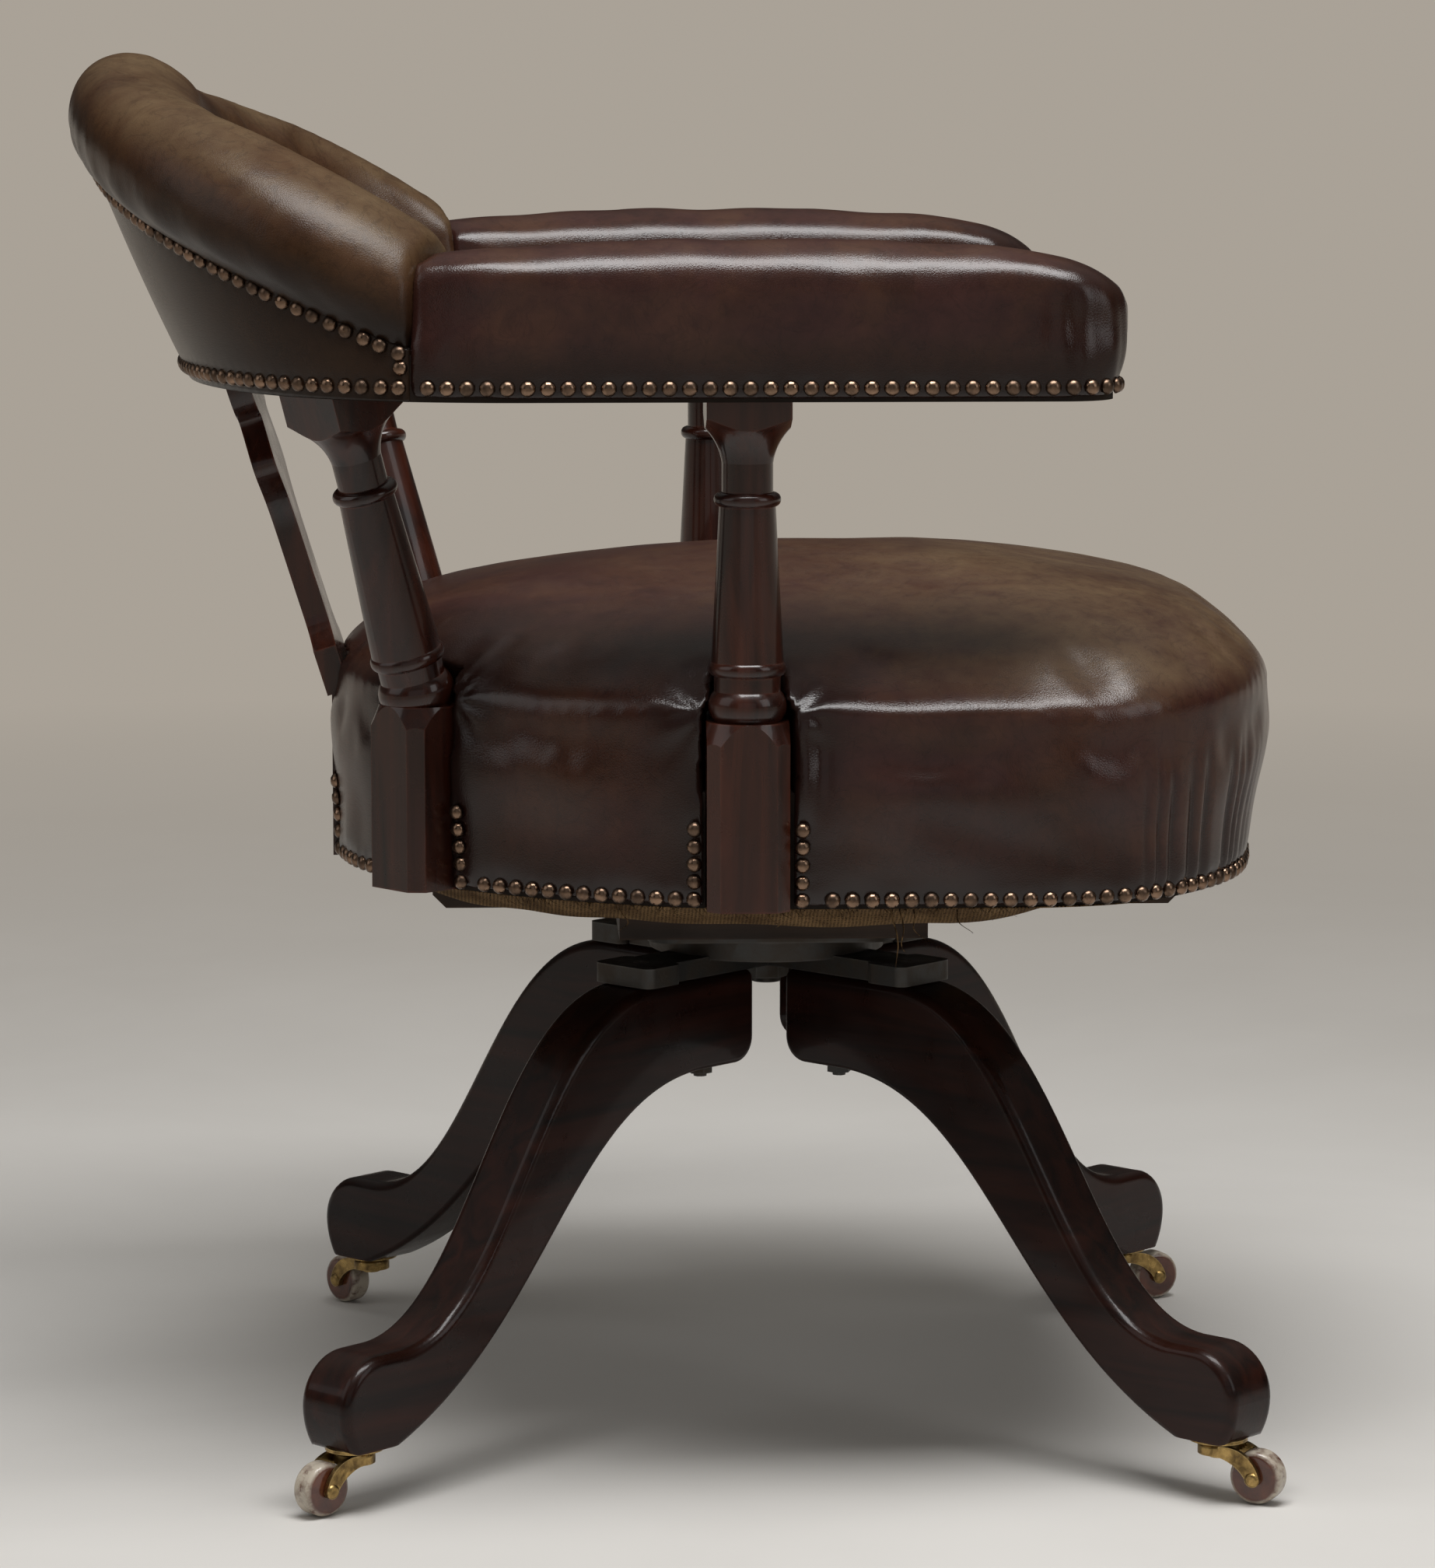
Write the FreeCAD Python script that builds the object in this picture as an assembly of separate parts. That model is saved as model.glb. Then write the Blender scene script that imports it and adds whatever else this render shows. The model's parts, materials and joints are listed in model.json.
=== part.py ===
"""Swivelling leather desk armchair on a four-legged castored base, in millimetres.

The origin is on the floor under the swivel axis. +X points to the front of the seat,
+Y to the sitter's left and +Z up.
"""
import FreeCAD, Part
import math
import os

V = FreeCAD.Vector

# Lengths of cutting tools: a little past a face, and well past the whole seat
over = 1.0
beyond = 400.0

# Castors: brass, with pot wheels
wheel_diameter = 31.0
wheel_width = 15.0
wheel_rim_round = 3.5
wheel_bore_clearance = 0.05
axle_radius = 2.5
axle_head_radius = 4.2
axle_head_height = 1.6
axle_head_round = 0.6
horn_thickness = 3.0
horn_width = 9.0
horn_gap = 0.6
horn_drop = 1.5
horn_knee_out = (20.0, 29.5)
horn_knee_in = (13.5, 22.5)
castor_trail = 25.0
crown_radius = 12.0
crown_neck_radius = 9.0
crown_height = 7.5
crown_wall = 4.0
crown_shoulder = (11.4, 2.0)
pin_radius = 4.0
pin_clearance = 0.05
pin_head_radius = 5.5
pin_head_height = 2.0
castor_plate_radius = 17.0
castor_plate_thickness = 2.0
castor_gap = 0.3
castor_radius = 353.0
castor_screw_reach = 12.8
castor_screw_count = 3
castor_angles = {"front_right": -29.3, "rear_right": -139.3, "rear_left": 130.2, "front_left": 19.2}

# Legs: four S-shaped mahogany legs on the diagonals
leg_angles = {"front_right": -45.0, "rear_right": -135.0, "rear_left": 135.0, "front_left": 45.0}
leg_thickness = 40.0
leg_top = 275.5
leg_inner_radius = 33.0
leg_head_depth = 56.0
leg_corner_round = 15.0
leg_flat_end = 118.0
leg_arch_start = 75.0
leg_knee_share = 0.486
leg_ankle_share = 0.411
leg_arch_share = 0.4363
leg_heel_share = 0.4788
leg_heel_rise = 52.0
foot_underside = 36.5
foot_height = 54.0
foot_round = 30.0
foot_heel_behind = 19.0
foot_ankle_behind = 21.0
foot_nose_ahead = 25.0
foot_toe_ahead = 18.0
foot_heel_radius = castor_radius - foot_heel_behind
foot_ankle_radius = castor_radius - foot_ankle_behind
foot_nose_radius = castor_radius + foot_nose_ahead
foot_toe_radius = castor_radius + foot_toe_ahead
leg_upper_round = 6.0
leg_lower_round = 3.0

# Iron spider and swivel
spider_arm_reach = 130.0
spider_arm_width = 34.0
spider_pad_width = 46.0
spider_pad_length = 30.0
spider_pad_corner = 6.0
spider_arm_thickness = 12.0
spider_disc_radius = 72.0
spider_disc_thickness = 12.0
spider_disc_lap = 2.0
leg_bolt_reach = 60.0
leg_bolt_radius = 4.0
leg_bolt_head_radius = 8.0
leg_bolt_head_height = 4.0
leg_bolt_tip = 2.0
leg_screw_reach = 112.0
leg_screw_length = 34.0
nut_thickness = 6.5
nut_across_flats = 13.0
hole_clearance = 0.2
swivel_gap = 0.3
pivot_radius = 9.0
pivot_clearance = 0.05
pivot_flange_radius = 26.0
pivot_flange_height = 6.0
pivot_nut_across_flats = 24.0
pivot_nut_thickness = 10.0
pivot_tip = 3.0
plate_side = 150.0
plate_corner = 15.0
plate_thickness = 5.0
plate_screw_inset = 15.0
plate_screw_length = 20.0

# Timber between the swivel and the seat
block_length = 185.0
block_width = 180.0
block_thickness = 20.0
bearer_offset = 68.0
bearer_width = 42.0
bearer_thickness = 26.0
bearer_front = 245.0
bearer_rear = -204.0
bearer_chamfer = 8.0
bearer_screw_inset = 14.0
block_screw_length = 38.0
bearer_screw_length = 51.0

# Wood screws, one pattern in two sizes
screw_radius = 2.5
screw_head_radius = 4.8
screw_head_height = 3.0
small_screw_radius = 1.4
small_screw_head_radius = 2.6
small_screw_head_height = 1.5
small_screw_length = 14.0

# Seat plan: half outline of the leather at its hem, front centre to rear centre
seat_front = (287.0, 0.0)
seat_front_end = (276.0, 126.0)
seat_corner = (244.0, 204.0)
seat_side_start = (203.0, 247.0)
seat_side = (76.0, 266.0)
seat_side_end = (-50.0, 260.0)
seat_rear_corner = (-151.0, 214.0)
seat_rear_start = (-236.0, 132.0)
seat_rear = (-263.0, 0.0)
seat_middle = 12.0
frame_height = 66.0
frame_width = 78.0
leather = 2.5
seam_gap = 0.3
cover_edge = 0.5
seat_shoulder = 114.0
seat_swell = 10.0
seat_swell_ahead = 5.0
seat_wall = ((0.0, 0.0), (0.1, 0.03), (0.35, 0.5), (0.7, 0.95), (0.88, 1.0), (1.0, 0.6))
seat_crown = 184.0
seat_dome_middle = 40.0
seat_dome_power = 2.15
seat_dome_shares = (0.985, 0.95, 0.88, 0.77, 0.63, 0.45, 0.2)
web_width = 50.0
web_thickness = 1.6
web_pitch = 92.0
web_lift = 2.0
hessian_inset = 8.0
hessian_sag = 16.0
hessian_fall = 0.7
hessian_flat = 0.6
hessian_gap = 1.0
hessian_thickness = 2.0
spring_radius = 30.0
spring_wire = 1.8
spring_turns = 4
spring_spacing = 110.0

# Turned posts
post_side = 47.0
post_chamfer = 7.5
post_block_height = 107.0
post_shaft_height = 182.0
post_shaft_root = 9.0
post_block_shoulder = 12.0
post_proud = 15.0
front_post_x = -24.0
rear_post_angle = 139.5
rear_post_place = (-210.0, 167.0)
rear_post_lean = 17.5
torus_radius = 22.3
torus_height = 17.0
base_neck_radius = 19.0
base_neck_height = 8.5
base_ring_radius = 22.0
base_ring_height = 8.0
shaft_foot_radius = 20.5
shaft_head_radius = 16.0
neck_ring_radius = 19.0
neck_ring_height = 8.0
neck_radius = 14.5
neck_height = 16.5
cap_cove_height = 18.0
cap_cove_hollow = (3.5, 11.0)
cap_cove_rise = 27.0
cap_height = 18.0
cap_side = 48.0
cap_turned_radius = 36.0
post_screw_length = 52.0
post_screw_heights = (22.0, 48.0)
post_screw_sink = 24.0
post_screw_pocket = 45.0
post_clearance = 0.4
post_room_radius = 24.0
post_room_height = 60.0

# Splat behind the seat
splat_thickness = 14.0
splat_tongue_half = 46.0
splat_tongue_proud = 1.0
splat_set_back = 6.7
splat_room = 30.0
splat_tongue_height = 110.0
splat_lean = 17.4
splat_foot_height = 14.0
splat_scoop_height = 22.0
splat_scoop_hollow = (4.0, 3.0)
splat_waist_half = 30.0
splat_waist_share = 0.42
splat_bump_half = 52.0
splat_bump_share = 0.66
splat_notch_half = 41.0
splat_notch_share = 0.78
splat_head_half = 60.0
splat_head_share = 0.9

# Arms and the bow that joins them
arm_front = 184.0
arm_outer = 290.0
arm_width = 76.0
arm_corner = 32.0
arm_curve_start = -140.0
arm_height = 87.0
arm_shoulder = 68.0
arm_swell = 1.5
arm_wall_shares = (0.55, 0.85)
arm_crown_half = 10.0
arm_crown_shares = (0.12, 0.35, 0.65, 1.0)
arm_nose_draw = 70.0
arm_rail_thickness = 26.0
bow_depth = 208.0
bow_power = 2.35
bow_seam_angle = 72.7
back_height = 190.0
back_lean = 24.0
back_nail_low = 30.0
back_nail_high = 134.0
back_roll_out = 68.0
back_roll_level = 153.0
back_crest_out = 35.0
back_inner_level = 150.0
back_inner_bulge = 8.0
back_top_rise = 8.0
back_top_out = 10.0
back_top_follow = 0.28
back_rail_margin = 3.0
back_board = 12.0
seam_roll_drop = 8.0
seam_roll_out = 1.0
seam_crest_share = 0.46
seam_top_share = 0.84
seam_top_rise = 4.0
seam_inner_bulge = 1.5
bow_stations = 9
bow_row_steps = 400

# Upholstery nails
nail_diameter = 9.0
nail_height = 3.2
nail_pitch = 11.2
nail_column_count = 5
nail_column_pitch = 10.2
nail_column_gap = 6.5
seat_nail_level = 5.3
rail_nail_level = 8.0
nail_seat = 0.32
nail_start = 12.0
nail_search = 40.0

# Levels that follow from the sizes above
wheel_radius = wheel_diameter / 2
horn_inner = wheel_width / 2 + horn_gap
horn_outer = horn_inner + horn_thickness
plate_underside = foot_underside - castor_plate_thickness
crown_top = plate_underside - castor_gap
crown_underside = crown_top - crown_height
spider_top = leg_top + spider_arm_thickness + spider_disc_thickness - spider_disc_lap
swivel_plate_base = spider_top + swivel_gap
block_base = swivel_plate_base + plate_thickness
bearer_base = block_base + block_thickness
seat_base = bearer_base + bearer_thickness
frame_top = seat_base + frame_height
post_block_top = seat_base + post_block_height
arm_base = post_block_top + post_shaft_height


def box(x0, x1, y0, y1, z0, z1):
    return Part.makeBox(x1 - x0, y1 - y0, z1 - z0, V(x0, y0, z0))


def rod(radius, z0, z1, x=0.0, y=0.0):
    return Part.makeCylinder(radius, z1 - z0, V(x, y, z0))


def line(a, b):
    return Part.makeLine(a, b)


def arc(a, b, c):
    return Part.Arc(a, b, c).toShape()


def bezier(poles):
    curve = Part.BezierCurve()
    curve.setPoles(poles)
    return curve.toShape()


def polygon(points):
    return Part.makePolygon(points + [points[0]])


def revolve(edges):
    """Solid of revolution about Z from edges drawn in the XZ plane."""
    face = Part.Face(Part.Wire(Part.__sortEdges__(edges)))
    return face.revolve(V(0, 0, 0), V(0, 0, 1), 360)


def turned(shape, degrees, x=0.0, y=0.0):
    """Copy of a shape turned about its own Z axis and then carried to (x, y)."""
    copy = shape.copy()
    copy.rotate(V(0, 0, 0), V(0, 0, 1), degrees)
    copy.translate(V(x, y, 0))
    return copy


def mirrored(shape):
    return shape.mirror(V(0, 0, 0), V(0, 1, 0))


def hexagon(across_flats, z0, z1):
    corner = across_flats / math.sqrt(3)
    points = [V(corner * math.cos(k * math.pi / 3), corner * math.sin(k * math.pi / 3), z0) for k in range(6)]
    return Part.Face(polygon(points)).extrude(V(0, 0, z1 - z0))


def wood_screw(length, radius=screw_radius, head=screw_head_radius, head_height=screw_head_height):
    """Countersunk screw with its head's flat face at z = 0 and its point up."""
    point = 2 * radius
    profile = [V(0, 0, 0), V(head, 0, 0), V(radius, 0, head_height), V(radius, 0, length - point),
               V(0, 0, length)]
    return revolve(polygon(profile).Edges)


def polar(radius, degrees):
    return radius * math.cos(math.radians(degrees)), radius * math.sin(math.radians(degrees))


def placed(shape, at, along):
    """Copy of a shape whose +Z is turned to a direction and whose origin is carried to a point."""
    copy = shape.copy()
    copy.Placement = FreeCAD.Placement(at, FreeCAD.Rotation(V(0, 0, 1), along))
    return copy


def upright(shape):
    """Edges of a shape that stand along Z."""
    return [e for e in shape.Edges if abs(e.Vertexes[0].Z - e.Vertexes[-1].Z) > over]


def save(name, shape):
    shape.exportStep("parts/" + name + ".step")


# Castors, each made at the origin with its trail along +X
def castor_plate():
    plate = rod(castor_plate_radius, plate_underside, foot_underside)
    pin = rod(pin_radius, crown_underside - castor_gap, plate_underside)
    head_top = crown_underside - castor_gap
    head = rod(pin_head_radius, head_top - pin_head_height, head_top)
    body = plate.fuse([pin, head])
    return body.cut(castor_screws()).removeSplitter()


def castor_screws():
    one = wood_screw(small_screw_length, small_screw_radius, small_screw_head_radius, small_screw_head_height)
    screws = []
    for k in range(castor_screw_count):
        x, y = polar(castor_screw_reach, 360.0 * k / castor_screw_count)
        copy = one.copy()
        copy.translate(V(x, y, plate_underside))
        screws.append(copy)
    return Part.makeCompound(screws)


def castor_fork():
    mid = crown_underside + crown_wall
    crown = revolve([
        line(V(0, 0, crown_underside), V(crown_radius, 0, crown_underside)),
        line(V(crown_radius, 0, crown_underside), V(crown_radius, 0, mid)),
        arc(V(crown_radius, 0, mid), V(crown_shoulder[0], 0, mid + crown_shoulder[1]),
            V(crown_neck_radius, 0, crown_top)),
        line(V(crown_neck_radius, 0, crown_top), V(0, 0, crown_top)),
        line(V(0, 0, crown_top), V(0, 0, crown_underside)),
    ])
    half = horn_width / 2
    axle = V(castor_trail, 0, wheel_radius)
    root = V(half, 0, crown_top - horn_drop)
    outside = arc(root, V(horn_knee_out[0], 0, horn_knee_out[1]), axle + V(half, 0, 0))
    boss = arc(axle + V(half, 0, 0), axle + V(0, 0, -half), axle + V(-half, 0, 0))
    inside = arc(axle + V(-half, 0, 0), V(horn_knee_in[0], 0, horn_knee_in[1]), V(-half, 0, crown_underside))
    top = line(V(-half, 0, crown_underside), root)
    horn = Part.Face(Part.Wire([outside, boss, inside, top])).extrude(V(0, horn_thickness, 0))
    horns = []
    for y in (horn_inner, -horn_outer):
        copy = horn.copy()
        copy.translate(V(0, y, 0))
        horns.append(copy)
    bore = rod(pin_radius + pin_clearance, crown_underside - over, crown_top + over)
    axle_start = V(castor_trail, -horn_outer, wheel_radius)
    axle_hole = Part.makeCylinder(axle_radius, 2 * horn_outer, axle_start, V(0, 1, 0))
    return crown.fuse(horns).cut(bore).cut(axle_hole).removeSplitter()


def castor_axle():
    end = horn_outer + axle_head_height
    profile = [
        line(V(0, 0, -end), V(axle_radius, 0, -end)),
        arc(V(axle_radius, 0, -end), V(axle_head_radius - axle_head_round, 0, axle_head_round - end),
            V(axle_head_radius, 0, -horn_outer)),
        line(V(axle_head_radius, 0, -horn_outer), V(axle_radius, 0, -horn_outer)),
        line(V(axle_radius, 0, -horn_outer), V(axle_radius, 0, horn_outer)),
        line(V(axle_radius, 0, horn_outer), V(axle_head_radius, 0, horn_outer)),
        arc(V(axle_head_radius, 0, horn_outer),
            V(axle_head_radius - axle_head_round, 0, end - axle_head_round), V(axle_radius, 0, end)),
        line(V(axle_radius, 0, end), V(0, 0, end)),
        line(V(0, 0, end), V(0, 0, -end)),
    ]
    return placed(revolve(profile), V(castor_trail, 0, wheel_radius), V(0, 1, 0))


def castor_wheel():
    half = wheel_width / 2
    bore = axle_radius + wheel_bore_clearance
    turn = wheel_rim_round
    shoulder = turn * (1 - math.sqrt(0.5))
    profile = [
        line(V(bore, 0, -half), V(wheel_radius - turn, 0, -half)),
        arc(V(wheel_radius - turn, 0, -half), V(wheel_radius - shoulder, 0, -half + shoulder),
            V(wheel_radius, 0, -half + turn)),
        line(V(wheel_radius, 0, -half + turn), V(wheel_radius, 0, half - turn)),
        arc(V(wheel_radius, 0, half - turn), V(wheel_radius - shoulder, 0, half - shoulder),
            V(wheel_radius - turn, 0, half)),
        line(V(wheel_radius - turn, 0, half), V(bore, 0, half)),
        line(V(bore, 0, half), V(bore, 0, -half)),
    ]
    return placed(revolve(profile), V(castor_trail, 0, wheel_radius), V(0, 1, 0))


# Legs, each made along +X
def leg():
    head_under = leg_top - leg_head_depth
    foot_top = foot_underside + foot_height
    inner = leg_inner_radius
    turn = leg_corner_round
    diagonal = math.sqrt(0.5)
    ankle = V(foot_ankle_radius, 0, foot_top)
    crest = V(foot_nose_radius - foot_round, 0, foot_top)
    brow = V(foot_nose_radius - foot_round * (1 - diagonal), 0, foot_top - foot_round * (1 - diagonal))
    nose = V(foot_nose_radius, 0, foot_top - foot_round)
    toe = V(foot_toe_radius, 0, foot_underside)
    slope = foot_ankle_radius - leg_flat_end
    arch = foot_heel_radius - leg_arch_start
    upper = bezier([V(leg_flat_end, 0, leg_top), V(leg_flat_end + leg_knee_share * slope, 0, leg_top),
                    ankle - V(leg_ankle_share * slope, 0, 0), ankle])
    lower = bezier([V(foot_heel_radius, 0, foot_underside),
                    V(foot_heel_radius - leg_heel_share * arch, 0, foot_underside + leg_heel_rise),
                    V(leg_arch_start + leg_arch_share * arch, 0, head_under),
                    V(leg_arch_start, 0, head_under)])
    chin = V((nose.x * 3 + toe.x) / 4, 0, (nose.z + toe.z) / 2)
    rounded = [upper, line(ankle, crest), arc(crest, brow, nose), arc(nose, chin, toe)]
    edges = [line(V(inner, 0, leg_top), V(leg_flat_end, 0, leg_top))] + rounded + [
        line(toe, V(foot_heel_radius, 0, foot_underside)), lower,
        line(V(leg_arch_start, 0, head_under), V(inner + turn, 0, head_under)),
        arc(V(inner + turn, 0, head_under),
            V(inner + turn * (1 - diagonal), 0, head_under + turn * (1 - diagonal)),
            V(inner, 0, head_under + turn)),
        line(V(inner, 0, head_under + turn), V(inner, 0, leg_top)),
    ]
    blank = Part.Face(Part.Wire(edges)).extrude(V(0, leg_thickness, 0))
    blank.translate(V(0, -leg_thickness / 2, 0))
    blank = blank.makeFillet(leg_upper_round, [e for e in blank.Edges if on_side(e) and follows(e, rounded)])
    blank = blank.makeFillet(leg_lower_round, [e for e in blank.Edges if on_side(e) and follows(e, [lower])])
    bolt_hole = rod(leg_bolt_radius + hole_clearance, head_under - over, leg_top + over, leg_bolt_reach)
    return blank.cut([bolt_hole, leg_screw(), foot_screws()])


def on_side(edge):
    """True for an edge that lies on one of the leg's two flat sides."""
    return all(abs(abs(v.Point.y) - leg_thickness / 2) < 0.01 for v in edge.Vertexes)


def follows(edge, curves):
    """True where an edge runs over one of the profile curves, seen from the leg's side."""
    middle = edge.valueAt((edge.FirstParameter + edge.LastParameter) / 2)
    spot = Part.Vertex(V(middle.x, 0, middle.z))
    return any(spot.distToShape(curve)[0] < 0.01 for curve in curves)


def leg_screw():
    screw = wood_screw(leg_screw_length)
    screw.rotate(V(0, 0, 0), V(1, 0, 0), 180)
    screw.translate(V(leg_screw_reach, 0, leg_top + spider_arm_thickness))
    return screw


def foot_screws():
    screws = castor_screws().copy()
    screws.translate(V(castor_radius, 0, 0))
    return screws


def leg_bolt():
    tip = leg_top - leg_head_depth - nut_thickness - leg_bolt_tip
    neck = spider_top - leg_bolt_head_height
    profile = [V(0, 0, tip), V(leg_bolt_radius, 0, tip), V(leg_bolt_radius, 0, neck),
               V(leg_bolt_head_radius, 0, spider_top), V(0, 0, spider_top)]
    bolt = revolve(polygon(profile).Edges)
    bolt.translate(V(leg_bolt_reach, 0, 0))
    return bolt


def leg_nut():
    top = leg_top - leg_head_depth
    base = top - nut_thickness
    nut = hexagon(nut_across_flats, base, top).cut(rod(leg_bolt_radius, base, top))
    nut.translate(V(leg_bolt_reach, 0, 0))
    return nut


# Iron spider and swivel
def swivel_spider():
    disc = rod(spider_disc_radius, spider_top - spider_disc_thickness, spider_top)
    arm_top = leg_top + spider_arm_thickness
    arm = box(0, spider_arm_reach, -spider_arm_width / 2, spider_arm_width / 2, leg_top, arm_top)
    pad = box(spider_arm_reach - spider_pad_length, spider_arm_reach,
              -spider_pad_width / 2, spider_pad_width / 2, leg_top, arm_top)
    pad = pad.makeFillet(spider_pad_corner, upright(pad))
    limb = arm.fuse(pad).cut([leg_screw(), leg_bolt()])
    limbs = [turned(limb, angle) for angle in leg_angles.values()]
    bolts = [turned(leg_bolt(), angle) for angle in leg_angles.values()]
    bore = rod(pivot_radius + pivot_clearance, leg_top - over, spider_top + over)
    return disc.fuse(limbs).cut(bolts).cut(bore).removeSplitter()


def pivot_pin():
    flange = rod(pivot_flange_radius, block_base, block_base + pivot_flange_height)
    shank = rod(pivot_radius, leg_top - swivel_gap - pivot_nut_thickness - pivot_tip, block_base)
    return flange.fuse(shank).removeSplitter()


def pivot_nut():
    top = leg_top - swivel_gap
    blank = hexagon(pivot_nut_across_flats, top - pivot_nut_thickness, top)
    return blank.cut(rod(pivot_radius, top - pivot_nut_thickness, top))


def plate_screws():
    reach = plate_side / 2 - plate_screw_inset
    screws = []
    for x in (-reach, reach):
        for y in (-reach, reach):
            screw = wood_screw(plate_screw_length)
            screw.translate(V(x, y, swivel_plate_base))
            screws.append(screw)
    return Part.makeCompound(screws)


def swivel_plate():
    half = plate_side / 2
    plate = box(-half, half, -half, half, swivel_plate_base, block_base)
    plate = plate.makeFillet(plate_corner, upright(plate))
    return plate.cut([rod(pivot_radius, swivel_plate_base, block_base), plate_screws()])


def bearer_screws():
    """Screws up through the block into the bearers, and up through the bearers into the seat frame."""
    screws = []
    for y in (-bearer_offset, bearer_offset):
        for x in (-block_length / 2 + bearer_screw_inset, block_length / 2 - bearer_screw_inset):
            screw = wood_screw(block_screw_length)
            screw.translate(V(x, y, block_base))
            screws.append(screw)
        for x in (bearer_rear + bearer_screw_inset, bearer_front - bearer_screw_inset):
            screw = wood_screw(bearer_screw_length)
            screw.translate(V(x, y, bearer_base))
            screws.append(screw)
    return Part.makeCompound(screws)


def swivel_block():
    half = block_width / 2
    block = box(-block_length / 2, block_length / 2, -half, half, block_base, bearer_base)
    recess_top = block_base + pivot_flange_height + hole_clearance
    recess = rod(pivot_flange_radius + hole_clearance, block_base, recess_top)
    return block.cut([recess, plate_screws(), bearer_screws()])


def seat_bearer():
    bar = box(bearer_rear, bearer_front, bearer_offset - bearer_width / 2, bearer_offset + bearer_width / 2,
              bearer_base, seat_base)
    across = [e for e in bar.Edges if abs(e.Vertexes[0].Y - e.Vertexes[1].Y) > over]
    ends = [e for e in across if e.Vertexes[0].Z < bearer_base + over]
    return bar.makeChamfer(bearer_chamfer, ends).cut(bearer_screws())


# Seat outline: eight arcs through the named points, grown along their normals or shrunk to the middle
def seat_points():
    half = [seat_front_end, seat_corner, seat_side_start, seat_side, seat_side_end, seat_rear_corner,
            seat_rear_start]
    other = [(x, -y) for x, y in reversed(half)]
    return [seat_front] + half + [seat_rear] + other


def seat_ring(z, grow=0.0, share=1.0, middle=seat_middle, ahead=0.0):
    points = seat_points()
    count = len(points)
    ring = []
    for k, (x, y) in enumerate(points):
        before = points[k - 1]
        after = points[(k + 1) % count]
        tangent = V(after[0] - before[0], after[1] - before[1], 0)
        normal = V(tangent.y, -tangent.x, 0).normalize()
        spot = V(middle + (x - middle) * share + ahead, y * share, z) + normal * grow
        ring.append(spot)
    starts = range(-1, count - 1, 2)
    return Part.Wire([arc(ring[k], ring[k + 1], ring[k + 2]) for k in starts])


def seat_loft(inset):
    """Crowned cushion: upright at the hem, swelling to the shoulder and domed above it."""
    rings = []
    for height, swell in seat_wall:
        level = seat_base + seat_shoulder * height
        rings.append(seat_ring(level, seat_swell * swell - inset, ahead=seat_swell_ahead * swell))
    rise = seat_crown - seat_shoulder - inset
    for share in seat_dome_shares:
        dome = (1 - share ** seat_dome_power) ** (1 / seat_dome_power)
        full = (1 - seat_dome_shares[-1] ** seat_dome_power) ** (1 / seat_dome_power)
        level = seat_base + seat_shoulder + rise * dome / full
        rings.append(seat_ring(level, -inset, share, seat_dome_middle))
    return Part.makeLoft(rings, True, True)


def slab(wire_low, height):
    return Part.Face(wire_low).extrude(V(0, 0, height))


def seat_frame():
    outer = slab(seat_ring(seat_base, -leather - seam_gap), frame_height)
    inner = slab(seat_ring(seat_base, -leather - frame_width), frame_height)
    holes = [splat_housing(), bearer_screws(), post_screws(), screw_pockets()]
    return outer.cut(inner).cut(post_housings() + holes)


def seat_stuffing():
    form = seat_loft(leather + seam_gap)
    above = slab(seat_ring(frame_top + seam_gap, post_side), seat_crown)
    return form.common(above).cut(post_housings() + [splat_housing()])


def seat_cover():
    return seat_loft(0).cut([seat_loft(leather)] + post_housings() + [splat_housing()])


def seat_hessian():
    top = seat_base - seam_gap
    rings = [seat_ring(top, -hessian_inset), seat_ring(top - hessian_fall * hessian_sag, -2 * hessian_inset),
             seat_ring(top - hessian_sag, -2 * hessian_inset, hessian_flat)]
    dish = Part.makeLoft(rings, True, True)
    inside = dish.copy()
    inside.translate(V(0, 0, hessian_thickness))
    cloth = dish.cut(inside)
    gap = hessian_gap
    for y in (-bearer_offset, bearer_offset):
        cloth = cloth.cut(box(bearer_rear - gap, bearer_front + gap, y - bearer_width / 2 - gap,
                              y + bearer_width / 2 + gap, bearer_base, seat_base))
    return cloth


def seat_webbing():
    well = slab(seat_ring(seat_base, -leather - frame_width - seam_gap), frame_height)
    level = seat_base + web_lift
    strips = []
    for k in (-1, 0, 1):
        middle = k * web_pitch
        strips.append(box(-beyond, beyond, middle - web_width / 2, middle + web_width / 2, level,
                          level + web_thickness))
    level = level + web_thickness + seam_gap
    for k in (-1, 0, 1):
        middle = seat_middle + k * web_pitch
        strips.append(box(middle - web_width / 2, middle + web_width / 2, -beyond, beyond, level,
                          level + web_thickness))
    return Part.makeCompound([strip.common(well) for strip in strips])


def seat_springs():
    """Coils of round wire, each wound from level-ended half turns that tilt to and fro."""
    low = seat_base + web_lift + 2 * web_thickness + 2 * seam_gap + spring_wire
    high = frame_top - spring_wire
    step = (high - low) / (2 * spring_turns)
    halves = []
    for k in range(2 * spring_turns):
        side = spring_radius if k % 2 == 0 else -spring_radius
        level = low + k * step
        run = arc(V(side, 0, level), V(0, side, level + step / 2), V(-side, 0, level + step))
        end = Part.Face(Part.Wire(Part.makeCircle(spring_wire, V(side, 0, level), V(0, 1, 0))))
        angle = math.degrees(run.LastParameter - run.FirstParameter)
        halves.append(end.revolve(run.Curve.Center, run.Curve.Axis, angle))
    coil = halves[0].fuse(halves[1:]).removeSplitter()
    spots = [(0, 0), (1, 0), (-1, 0), (0, 1), (0, -1)]
    coils = [turned(coil, 0, seat_middle + spring_spacing * i, spring_spacing * j) for i, j in spots]
    return Part.makeCompound(coils)


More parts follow.
